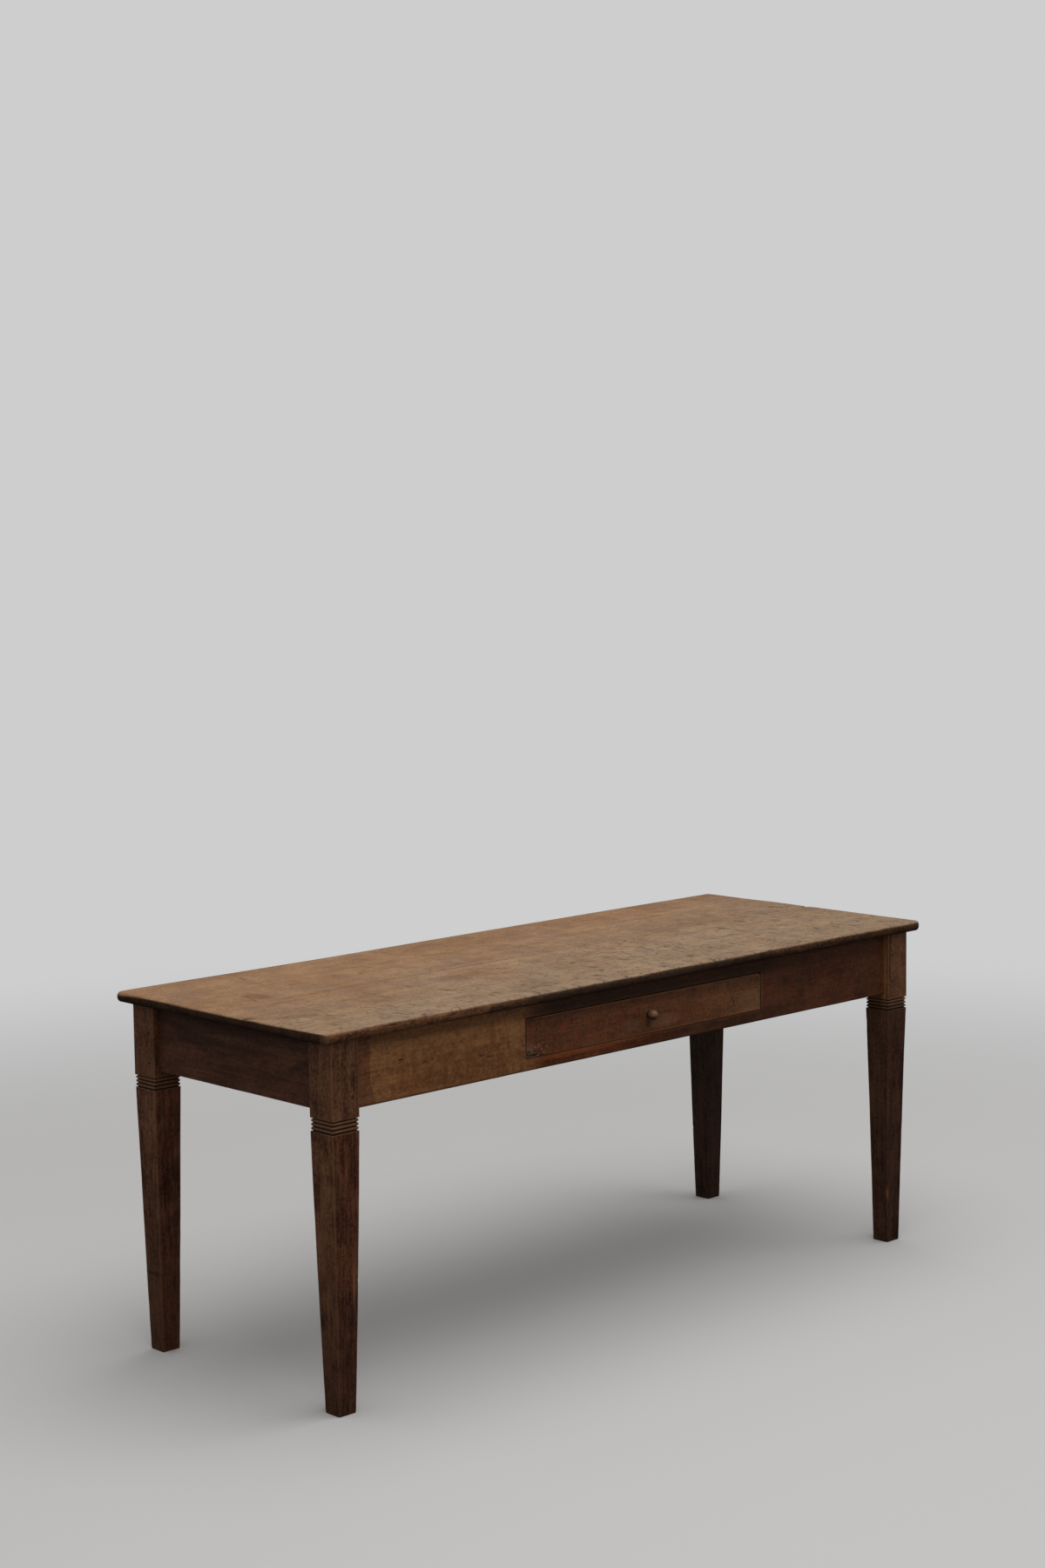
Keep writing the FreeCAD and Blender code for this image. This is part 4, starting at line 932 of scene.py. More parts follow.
# How widely an arris is eased: its usual share, the chance about it, and the chance's waves in a metre.
EASE_SHARE, EASE_CHANCE, EASE_WAVES = 0.55, 0.4, 24
CRISP_REACH = 0.0005
CRISP_SHARE = 0.25
# How far a planed face lies behind the flat one on average, as a share of its ripples' height.
PLANED_SHARE = 0.6


def ripple(points, size, seed):
    """Smooth noise from -1 to 1 at each point, its waves about size long."""
    places = np.asarray(points, float) / size + seed * SEED_STEP
    return np.array([noise.noise(place) for place in places])


def waves(points, seed, layers):
    """Ripples added up; each layer is the size of its waves and its weight."""
    return sum(weight * ripple(points, size, seed + k) for k, (size, weight) in enumerate(layers))


def bell(distance):
    """1 at no distance, falling to nothing at about 2."""
    return np.exp(-distance ** 2)


def lines(fixed, cell, guard):
    """Mesh lines through the fixed places, with a guard line beside each and about a cell between."""
    places = []
    for low, high in zip(fixed, fixed[1:]):
        count = max(2, math.ceil((high - low - 2 * guard) / cell) + 1)
        places += [low, *np.linspace(low + guard, high - guard, count)]
    return np.array(places + [fixed[-1]])


def read(items, name, width):
    """One property of all of a mesh's items as an array."""
    values = np.zeros(len(items) * width, np.int32 if name == "vertices" else np.float32)
    items.foreach_get(name, values)
    return values.reshape(-1, width)


def store(mesh, name, values):
    """Keeps one number for each point of a mesh."""
    mesh.attributes.new(name, "FLOAT", "POINT").data.foreach_set("value", np.asarray(values, np.float32))


def mesh_of(name, points, faces):
    """A closed mesh whose faces point outwards."""
    mesh = bpy.data.meshes.new(name)
    mesh.from_pydata(np.asarray(points).tolist(), [], faces)
    shell = bmesh.new()
    shell.from_mesh(mesh)
    bmesh.ops.recalc_face_normals(shell, faces=shell.faces)
    shell.to_mesh(mesh)
    shell.free()
    return mesh


def settle(mesh, prepare):
    """Runs the modifiers that prepare adds and keeps the result as a plain mesh."""
    holder = bpy.data.objects.new("holder", mesh)
    bpy.context.scene.collection.objects.link(holder)
    prepare(holder)
    graph = bpy.context.evaluated_depsgraph_get()
    made = bpy.data.meshes.new_from_object(holder.evaluated_get(graph), preserve_all_data_layers=True,
                                           depsgraph=graph)
    holder.modifiers.clear()
    bpy.data.objects.remove(holder)
    return made


def ease(mesh, width, seed, segments=3, crisp=None):
    """Rounds a mesh's sharp edges, unevenly, as long use does; those at the height crisp stay sharper."""
    shell = bmesh.new()
    shell.from_mesh(mesh)
    weights = shell.edges.layers.float.new("bevel_weight_edge")
    for edge in shell.edges:
        if len(edge.link_faces) == 2 and edge.calc_face_angle() > SHARP:
            middle = (edge.verts[0].co + edge.verts[1].co) / 2
            chance = noise.noise(middle * EASE_WAVES + Vector((seed, 0, 0)))
            edge[weights] = EASE_SHARE + EASE_CHANCE * chance
            if crisp is not None and abs(middle.z - crisp) < CRISP_REACH:
                edge[weights] *= CRISP_SHARE
    shell.to_mesh(mesh)
    shell.free()

    def bevel(holder):
        easing = holder.modifiers.new("ease", "BEVEL")
        easing.limit_method = "WEIGHT"
        easing.width = width
        easing.segments = segments
        easing.use_clamp_overlap = False

    return settle(mesh, bevel)


def mark_wear(mesh):
    """Keeps how much of an arris or of a hollow each point is, from the bend of the surface."""
    points, normals = read(mesh.vertices, "co", 3), read(mesh.vertices, "normal", 3)
    start, end = read(mesh.edges, "vertices", 2).T
    step = points[end] - points[start]
    bend = ((normals[end] - normals[start]) * step).sum(1) / np.maximum((step ** 2).sum(1), MERGE ** 2)
    for name, sign in (("arris", 1), ("hollow", -1)):
        value = np.zeros(len(points))
        np.maximum.at(value, start, sign * bend)
        np.maximum.at(value, end, sign * bend)
        value = np.clip(value * WEAR_RADIUS, 0, 1)
        for _ in range(WEAR_PASSES):
            total, count = value.copy(), np.ones(len(points))
            for here, there in ((start, end), (end, start)):
                np.add.at(total, here, value[there])
                np.add.at(count, here, 1)
            value = total / count
        store(mesh, name, value)


def add_piece(name, mesh, body, slot, material, *nodes):
    """Puts a finished mesh in the scene as a piece that rides on a body and stands for its CAD nodes."""
    mesh.name = name
    mesh.materials.clear()
    mesh.materials.append(material)
    mark_wear(mesh)
    mesh.polygons.foreach_set("use_smooth", [True] * len(mesh.polygons))
    mesh.set_sharp_from_angle(angle=SMOOTH)
    piece = bpy.data.objects.new(name, mesh)
    bpy.context.scene.collection.objects.link(piece)
    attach(piece, body)
    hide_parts(*nodes)


CORNER_STEPS = 8
EDGE_STEPS = 7
# The top's rim attribute runs from 0 on the upper face to 1 at the edge, then down the lower bend to its
# end, and is highest on the underside. Points under the limit belong to the upper face.
RIM_BEND_END, RIM_BEND_SPAN, RIM_UNDER, RIM_UPPER_LIMIT = 1.5, 0.4, 2.0, 1.05
# Waves of the top's outline and of its surface: their sizes and weights.
OUTLINE_WAVES, OUTLINE_LEVEL = ((0.11, 0.6), (0.03, 0.4)), 0.4
TOP_WAVES = (((0.5, 0.14, 1), 0.7), ((0.12, 0.05, 1), 0.3))
JOINT_WAVE, JOINT_LEVEL, JOINT_CHANCE = 0.06, 0.7, 0.6
SEAM_REACH = 0.006
# Where the top is worn down: along the back edge, and at the left end.
SAG_X, SAG_REACH_X, SAG_Y, SAG_REACH_Y = -0.4, 0.42, 0.12, 0.2
END_REACH_X, END_REACH_Y = 0.035, 0.26


def quarter(steps):
    """The angles of a quarter turn in so many steps."""
    return [math.pi / 2 * k / steps for k in range(steps + 1)]


def top_faces(nu, nv, chain, rings):
    """The faces of a board of the top: upper and lower grid, rings round the edge, flat joint."""
    count, first = len(chain), nu * nv
    last = first + count * rings

    def ring(k, c):
        return first + k * count + c

    faces = []
    for i in range(nu - 1):
        for j in range(nv - 1):
            square = [i * nv + j, (i + 1) * nv + j, (i + 1) * nv + j + 1, i * nv + j + 1]
            faces.append(square)
            faces.append([last + k for k in reversed(square)])
    for c in range(count - 1):
        here, there = (chain[k][0] * nv + chain[k][1] for k in (c, c + 1))
        for base, k in ((0, 0), (last, rings - 1)):
            face = [base + here, ring(k, c), ring(k, c + 1)]
            faces.append(face if here == there else face + [base + there])
        for k in range(rings - 1):
            faces.append([ring(k, c), ring(k + 1, c), ring(k + 1, c + 1), ring(k, c + 1)])
    halfway = EDGE_STEPS + 1
    above = [ring(k, 0) for k in reversed(range(halfway))] + [i * nv for i in range(nu)]
    above += [ring(k, count - 1) for k in range(halfway)]
    below = [ring(k, 0) for k in range(halfway, rings)] + [last + i * nv for i in range(nu)]
    below += [ring(k, count - 1) for k in reversed(range(halfway, rings))]
    for k in range(len(above) - 1):
        faces.append([above[k], above[k + 1], below[k + 1], below[k]])
    return faces


def top_drop(points, joint, left, look):
    """How far each point of the top's upper face lies below the flat face."""
    x, y, _ = points.T
    mark = np.zeros(len(points))
    for mark_x, mark_y, reach_x, reach_y, lean, strength in TOP_MARKS:
        off_x, off_y = x - mark_x, y - mark_y
        spread = np.hypot((off_x - lean * off_y) / reach_x, off_y / reach_y)
        mark = np.maximum(mark, strength * bell(spread))
    sag = bell((x - SAG_X) / SAG_REACH_X) * np.clip((y - SAG_Y) / SAG_REACH_Y, 0, 1) ** 2
    worn_end = bell((x - left) / END_REACH_X) * bell(y / END_REACH_Y)
    drop = look.hollow * sag + look.end_wear * worn_end + look.dent * mark
    drop -= look.ripple * waves(points, 3, TOP_WAVES)
    in_joint = np.abs(y - joint) < look.joint_width / 2
    return drop + look.joint_depth * in_joint * (JOINT_LEVEL + JOINT_CHANCE * ripple(points, JOINT_WAVE, 5))


def top_board(node, side, look):
    """One board of the top: a fine grid above and below, a rounded edge on three sides and a flat joint.

    side is -1 for the front board and 1 for the back one: the way from the joint to the outer edge.
    """
    low, high = BOXES[node]
    joint, outer = (high.y, low.y) if side < 0 else (low.y, high.y)
    reach = abs(outer - joint)
    us = np.linspace(low.x + look.corner, high.x - look.corner, round((high.x - low.x) / look.cell))
    inner = np.linspace(2 * look.joint_width, reach - look.corner, round(reach / look.cell))
    vs = np.concatenate(([0, look.joint_width], inner))
    nu, nv = len(us), len(vs)

    turns = quarter(CORNER_STEPS)
    chain = [(0, j, (-1, 0)) for j in range(nv - 1)]
    chain += [(0, nv - 1, (-math.cos(a), math.sin(a))) for a in turns]
    chain += [(i, nv - 1, (0, 1)) for i in range(1, nu - 1)]
    chain += [(nu - 1, nv - 1, (math.sin(a), math.cos(a))) for a in turns]
    chain += [(nu - 1, j, (1, 0)) for j in reversed(range(nv - 1))]
    grid = np.array([(u, v) for u in us for v in vs])
    foot = np.array([(us[i], vs[j]) for i, j, _ in chain])
    way = np.array([direction for _, _, direction in chain])

    def bend(radius):
        return [(look.corner - radius * (1 - math.sin(a)), radius * (1 - math.cos(a)), math.sin(a))
                for a in quarter(EDGE_STEPS)]

    rounded = np.abs(way[:, 1])
    if side > 0:
        rounded = np.maximum(rounded, bell((vs[-1] - foot[:, 1]) / look.end_fade))
    upper_radius = look.edge_end + (look.edge - look.edge_end) * rounded
    rings = [(out, high.z - drop, rim) for out, drop, rim in bend(upper_radius)]
    rings += [(out, low.z + drop, RIM_BEND_END - RIM_BEND_SPAN * rim)
              for out, drop, rim in reversed(bend(look.edge_low))]
    outline = foot + way * look.corner
    shore = np.column_stack((outline[:, 0], joint + side * outline[:, 1], np.full(len(outline), high.z)))
    wear = look.edge_wave * (waves(shore, 1, OUTLINE_WAVES) + OUTLINE_LEVEL)
    for x, y, width, depth in TOP_NICKS:
        wear += depth * bell(np.hypot(shore[:, 0] - x, shore[:, 1] - y) / width)

    layers = [np.column_stack((grid, np.full(len(grid), high.z)))]
    rims = [np.zeros(len(grid))]
    for out, height, rim in rings:
        flat = foot + way * (out * (1 - wear / look.corner))[:, None]
        layers.append(np.column_stack((flat, np.broadcast_to(height, len(flat)))))
        rims.append(np.full(len(flat), rim))
    layers.append(np.column_stack((grid, np.full(len(grid), low.z))))
    rims.append(np.full(len(grid), RIM_UNDER))
    points, rims = np.concatenate(layers), np.concatenate(rims)
    points[:, 1] = joint + side * points[:, 1]
    upper = rims < RIM_UPPER_LIMIT
    seam = np.clip(1 - np.abs(points[:, 1] - joint) / SEAM_REACH, 0, 1)
    points[upper, 2] -= top_drop(points, joint, low.x, look)[upper]

    mesh = mesh_of(node, points, top_faces(nu, nv, chain, len(rings)))
    store(mesh, "seam", seam * upper)
    store(mesh, "rim", rims)
    return mesh


def plate(us, vs, thickness, is_solid):
    """A board in the u-v plane, open where is_solid says no: its points as (u, v, depth) and its faces."""
    points, index, faces = [], {}, []

    def node(i, j, k):
        if (i, j, k) not in index:
            index[i, j, k] = len(points)
            points.append((us[i], vs[j], thickness * k))
        return index[i, j, k]

    cells = {(i, j) for i in range(len(us) - 1) for j in range(len(vs) - 1)
             if is_solid((us[i] + us[i + 1]) / 2, (vs[j] + vs[j + 1]) / 2)}
    for i, j in sorted(cells):
        square = [(i, j), (i + 1, j), (i + 1, j + 1), (i, j + 1)]
        beyond = [(i, j - 1), (i + 1, j), (i, j + 1), (i - 1, j)]
        faces.append([node(a, b, 0) for a, b in square])
        faces.append([node(a, b, 1) for a, b in reversed(square)])
        for start, end, outside in zip(square, square[1:] + square[:1], beyond):
            if outside not in cells:
                faces.append([node(*end, 0), node(*start, 0), node(*start, 1), node(*end, 1)])
    return np.array(points), faces


# Waves of the aprons' planed faces and of their lower edges.
APRON_WAVES = (((0.3, 0.06, 1), 0.7), ((0.06, 0.03, 1), 0.3))
APRON_FOOT_WAVE = (0.08, 1, 1)


def apron(node, look, seed):
    """An apron between its two legs, with the drawer's opening if it is the front one."""
    low, high = BOXES[node]
    us, vs = [LEFT_LEG[1].x, RIGHT_LEG[0].x], [low.z, high.z]
    if node in ("apron_left", "apron_right"):
        us = [LEFT_LEG[1].y, BOXES["leg_back_left"][0].y]
    has_opening = node == "apron_front"
    if has_opening:
        us[1:1] = [OPENING_LEFT, OPENING_RIGHT]
        vs[1:1] = [OPENING_BOTTOM, OPENING_TOP]

    def is_solid(u, v):
        return not (has_opening and OPENING_LEFT < u < OPENING_RIGHT and OPENING_BOTTOM < v < OPENING_TOP)

    us, vs = (lines(fixed, look.cell, look.guard) for fixed in (us, vs))
    points, faces = plate(us, vs, min(high.x - low.x, high.y - low.y), is_solid)
    u, v, depth = points.T
    outer, lowest = depth == 0, v == low.z
    depth = depth + look.ripple * (waves(points, seed, APRON_WAVES) + PLANED_SHARE) * outer
    v = v + look.ripple * np.abs(ripple(points, APRON_FOOT_WAVE, seed + 2)) * lowest
    places = {
        "apron_front": (u, low.y + depth, v),
        "apron_back": (u, high.y - depth, v),
        "apron_left": (low.x + depth, u, v),
        "apron_right": (high.x - depth, u, v),
    }
    mesh = mesh_of(node, np.column_stack(places[node]), faces)
    return ease(mesh, look.arris, seed, crisp=OPENING_BOTTOM if has_opening else None)


def joined_copy(node, cuts=()):
    """A copy of a CAD node's mesh: triangles joined, flat faces made whole and then cut by planes."""
    shell = bmesh.new()
    shell.from_mesh(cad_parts[node].data)
    bmesh.ops.remove_doubles(shell, verts=shell.verts, dist=MERGE)
    bmesh.ops.dissolve_limit(shell, angle_limit=FLAT, verts=shell.verts, edges=shell.edges)
    for point, normal in cuts:
        everything = shell.verts[:] + shell.edges[:] + shell.faces[:]
        bmesh.ops.bisect_plane(shell, geom=everything, dist=MERGE, plane_co=point, plane_no=normal)
    mesh = bpy.data.meshes.new(node)
    shell.to_mesh(mesh)
    shell.free()
    return mesh


class Cuts(NamedTuple):
    """Where the drawer front's mesh is cut along one axis: the first cut's distance from the edge, the
    spacing at the broken corner and beyond it, and how far the close cuts run as a share of that corner."""

    first: float
    close: float
    wide: float
    share: float


CUTS_X, CUTS_Z = Cuts(0.003, 0.004, 0.012, 1.5), Cuts(0.0025, 0.0025, 0.008, 1.2)
# How far from the other edge the wide cuts end.
CUT_REST = 0.010
# Cuts at the worn upper right corner, as shares of its radius.
CORNER_SHARES = np.array([1.0, 0.62, 0.36, 0.16])
# The waves of the drawer front, of the broken corner's outline and of its ledges.
DRAWER_WAVES = (((0.3, 1, 0.05), 0.7), ((0.05, 1, 0.03), 0.3))
BROKEN_WAVES = (((0.030, 1, 0.006), 0.3), ((0.012, 1, 0.004), 0.2))
BROKEN_STEEPNESS = 2.5
LEDGE_WAVE, LEDGE_LEVEL, LEDGE_CHANCE = (0.05, 1, 0.007), 0.55, 0.45
DRAWER_SEED = 21


def cut_places(low, high, size, cuts):
    """Places along one axis: close together over the broken corner's size, then wide apart."""
    close = np.arange(low + cuts.first, low + cuts.share * size, cuts.close)
    wide = np.arange(close[-1] + cuts.wide, high - CUT_REST, cuts.wide)
    return (*close, *wide)


def drawer_front(look):
    """The drawer front with its soft waves, its broken lower left corner and its eased arrises."""
    low, high = DRAWER_LOW, DRAWER_HIGH
    near_corner = look.corner * CORNER_SHARES
    along = (*cut_places(low.x, high.x, look.chip_long, CUTS_X), *(high.x - near_corner))
    upward = (*cut_places(low.z, high.z, look.chip_high, CUTS_Z), *(high.z - near_corner))
    cuts = [(Vector((x, 0, 0)), Vector((1, 0, 0))) for x in along]
    cuts += [(Vector((0, 0, z)), Vector((0, 0, 1))) for z in upward]
    mesh = joined_copy("drawer_front", cuts)
    points = read(mesh.vertices, "co", 3).astype(float)
    outer = points[:, 1] < low.y + ON_FACE
    planed = waves(points, DRAWER_SEED, DRAWER_WAVES) + PLANED_SHARE
    ragged = waves(points, DRAWER_SEED + 2, BROKEN_WAVES)
    far = (points[:, 0] - low.x) / look.chip_long + (points[:, 2] - low.z) / look.chip_high
    broken = np.clip((1 - far + ragged) * BROKEN_STEEPNESS, 0, 1) * outer
    ledges = LEDGE_LEVEL + LEDGE_CHANCE * ripple(points, LEDGE_WAVE, DRAWER_SEED + 4)
    centre = np.array([high.x - look.corner, high.z - look.corner])
    off = np.maximum(points[:, [0, 2]] - centre, 0)
    beyond = np.maximum(np.hypot(*off.T) / look.corner, 1)
    rounded = outer & (off.min(1) > 0)
    points[np.ix_(rounded, [0, 2])] = centre + off[rounded] / beyond[rounded, None]
    points[:, 1] += outer * look.ripple * planed + look.chip_deep * broken * ledges
    mesh.vertices.foreach_set("co", points.astype(np.float32).ravel())
    store(mesh, "broken", broken)
    mesh.update()
    return ease(mesh, look.arris, DRAWER_SEED + 5, crisp=low.z)


KNOB_TURNS = 48
KNOB_STEPS = 20
# The knob's outline over its collar and neck, as shares of the collar's height and of each one's radius.
COLLAR_SHARES = ((0, 1), (0.6, 1), (0.9, 0.96), (1, 0.88), (1.2, 0.72))
NECK_SHARES = ((1.7, 1.06), (2.4, 1))
KNOB_WAVE, KNOB_OUT_OF_ROUND, KNOB_SEED = 0.009, 0.02, 31


def knob(look):
    """A turned knob on the drawer front: tenon, collar, neck and ball, a little out of round."""
    low, high = BOXES["drawer_knob"]
    axis_x, axis_z = (low.x + high.x) / 2, (low.z + high.z) / 2
    face = DRAWER_LOW.y
    tail = face - high.y
    ball = look.knob_ball
    centre = look.knob_reach - ball
    start = math.asin(look.knob_neck / ball)
    profile = [(tail, look.knob_tenon), (0, look.knob_tenon)]
    for shares, radius in ((COLLAR_SHARES, look.knob_collar), (NECK_SHARES, look.knob_neck)):
        profile += [(up * look.knob_collar_height, share * radius) for up, share in shares]
    for k in range(KNOB_STEPS):
        angle = start + (math.pi - start) * k / KNOB_STEPS
        profile.append((centre - ball * math.cos(angle), ball * math.sin(angle)))
    points = [(axis_x, high.y, axis_z), (axis_x, face - look.knob_reach, axis_z)]
    for out, radius in profile:
        for k in range(KNOB_TURNS):
            angle = math.tau * k / KNOB_TURNS
            across, up = radius * math.cos(angle), radius * math.sin(angle)
            points.append((axis_x + across, face - out, axis_z + up))
    points = np.array(points)
    swell = 1 + KNOB_OUT_OF_ROUND * ripple(points, KNOB_WAVE, KNOB_SEED) * (points[:, 1] < face)
    points[:, 0] = axis_x + (points[:, 0] - axis_x) * swell
    points[:, 2] = axis_z + (points[:, 2] - axis_z) * swell

    def at(row, k):
        return 2 + row * KNOB_TURNS + k % KNOB_TURNS

    faces = []
    last = len(profile) - 1
    for k in range(KNOB_TURNS):
        faces.append([0, at(0, k), at(0, k + 1)])
        faces.append([1, at(last, k + 1), at(last, k)])
        for row in range(last):
            faces.append([at(row, k), at(row + 1, k), at(row + 1, k + 1), at(row, k + 1)])
    return mesh_of("knob", points, faces)


# Geometry node trees.

class Tree(Graph):
    """A geometry node tree with named inputs."""

    def __init__(self, name, inputs):
        super().__init__(bpy.data.node_groups.new(name, "GeometryNodeTree"))
        face = self.tree.interface
        face.new_socket("Geometry", in_out="INPUT", socket_type="NodeSocketGeometry")
        for label, kind in inputs.items():
            face.new_socket(label, in_out="INPUT", socket_type="NodeSocket" + kind)
        face.new_socket("Geometry", in_out="OUTPUT", socket_type="NodeSocketGeometry")
        entry = self.tree.nodes.new("NodeGroupInput")
        self.given = {out.name: Term(self, out) for out in entry.outputs if out.name}

    def close(self, geometry):
        """Makes instances real, gives the result its material and hands it out."""
        real = self.node("GeometryNodeRealizeInstances", None, {"Geometry": geometry})
        dressed = self.node("GeometryNodeSetMaterial", None,
                            {"Geometry": real, "Material": self.given["Material"]})
        self.node("NodeGroupOutput", None, {"Geometry": dressed})

    def grow(self, base, values):
        """Runs the tree on a base mesh with these inputs and keeps the result as a plain mesh."""

        def prepare(holder):
            modifier = holder.modifiers.new("grow", "NODES")
            modifier.node_group = self.tree
            for item in self.tree.interface.items_tree:
                if item.in_out == "INPUT" and item.name in values:
                    modifier[item.identifier] = values[item.name]

        return settle(base, prepare)


LEG_TURNS = 96
SHAFT_STEPS, BAND_STEPS, BLOCK_STEPS = 90, 84, 24
BAND_MARGIN = 0.005
EDGE_EASE = 0.0016
LEG_LENGTHS = ("Block Width", "Height", "Block Height", "Band Height", "Shaft Width", "Foot Width",
               "Reed", "Groove", "Reed Radius", "Crest Inset", "Groove Inset", "Arris", "Chip", "Sway",
               "Swell", "Flare")
# For each leg: how far its shaft swells beyond a straight taper half way up, how far it flares at its
# top, and how much more painted shade it has than the near one.
LEG_SHAPE_AND_SHADE = {
    "leg_front_left": (0.0010, 0.0009, 0.0),
    "leg_front_right": (-0.0003, 0.0005, 0.60),
    "leg_back_left": (0.0003, 0.0003, 0.07),
    "leg_back_right": (0.0006, 0.0003, 0.86),
}
# The share of that painted shade on the faces towards the back and right.
LEG_BRIGHT_SHARE = 0.25
# How sharply a leg's front and back faces part from its side faces.
FACE_STEEPNESS = 2
# Waves in a metre of the legs' slow and quick sway, of the arrises' rounding and of the knocks on them.
SLOW_SWAY, QUICK_SWAY, ARRIS_WAVES, KNOCK_WAVES = 8, 40, 17, 60
QUICK_SHARE, KNOCK_LEVELS = 0.4, (0.64, 0.80)
# The rounding of an arris, as shares of its usual radius: the least, and what chance adds at most.
ARRIS_LEAST, ARRIS_CHANCE = 0.35, 1.3
# The block's share of the sway, and how far its faces stand out on average.
BLOCK_SWAY, BLOCK_STAND = 0.4, 0.35
# How far below the floor the foot's rounding starts, and its share of the other edges' rounding.
FOOT_GAP, FOOT_SHARE = 0.0004, 0.8
# How far from the leg's axis the chance is read.
CHANCE_RADIUS = 0.03
# Keeps what a square root is taken of above zero.
TINY = 1e-12
LEG_SEED, LEG_SEED_STEP = 1.7, 5.3
# Marks on the legs: x, y, z, reach along each of them, and strength (below zero for a pale one).
LEG_MARKS = (
    (-0.862, -0.311, 0.391, 0.005, 0.005, 0.020, 1.0),
    (-0.858, -0.265, 0.182, 0.010, 0.012, 0.016, 0.8),
    (-0.857, -0.306, 0.142, 0.004, 0.004, 0.008, 1.0),
    (-0.834, -0.306, 0.110, 0.007, 0.010, 0.022, 0.7),
    (-0.860, -0.272, 0.253, 0.010, 0.007, 0.018, 0.6),
    (-0.826, -0.313, 0.470, 0.012, 0.010, 0.030, 0.5),
    (-0.818, -0.310, 0.255, 0.002, 0.010, 0.034, -0.8),
    (-0.836, -0.312, 0.480, 0.003, 0.010, 0.030, -0.5),
    (-0.867, -0.270, 0.600, 0.010, 0.006, 0.012, 0.6),
    (0.812, -0.306, 0.118, 0.003, 0.004, 0.012, -0.8),
    (0.828, -0.312, 0.505, 0.007, 0.008, 0.010, 0.9),
    # Painted light on the set-back side face of the front right leg's block, beside the front apron.
    (0.8015, -0.3070, 0.635, 0.003, 0.006, 0.070, -1.1),
    (0.8060, -0.3160, 0.675, 0.003, 0.004, 0.070, 1.0),
    # Painted light on the front face of the front right leg's block.
    (0.8400, -0.3160, 0.655, 0.024, 0.004, 0.070, -0.18),
    (0.8050, -0.3140, 0.330, 0.004, 0.004, 0.050, -0.6),
    (-0.857, 0.283, 0.165, 0.010, 0.040, 0.0016, 0.9),
    (-0.860, 0.270, 0.330, 0.008, 0.008, 0.030, 0.6),
)


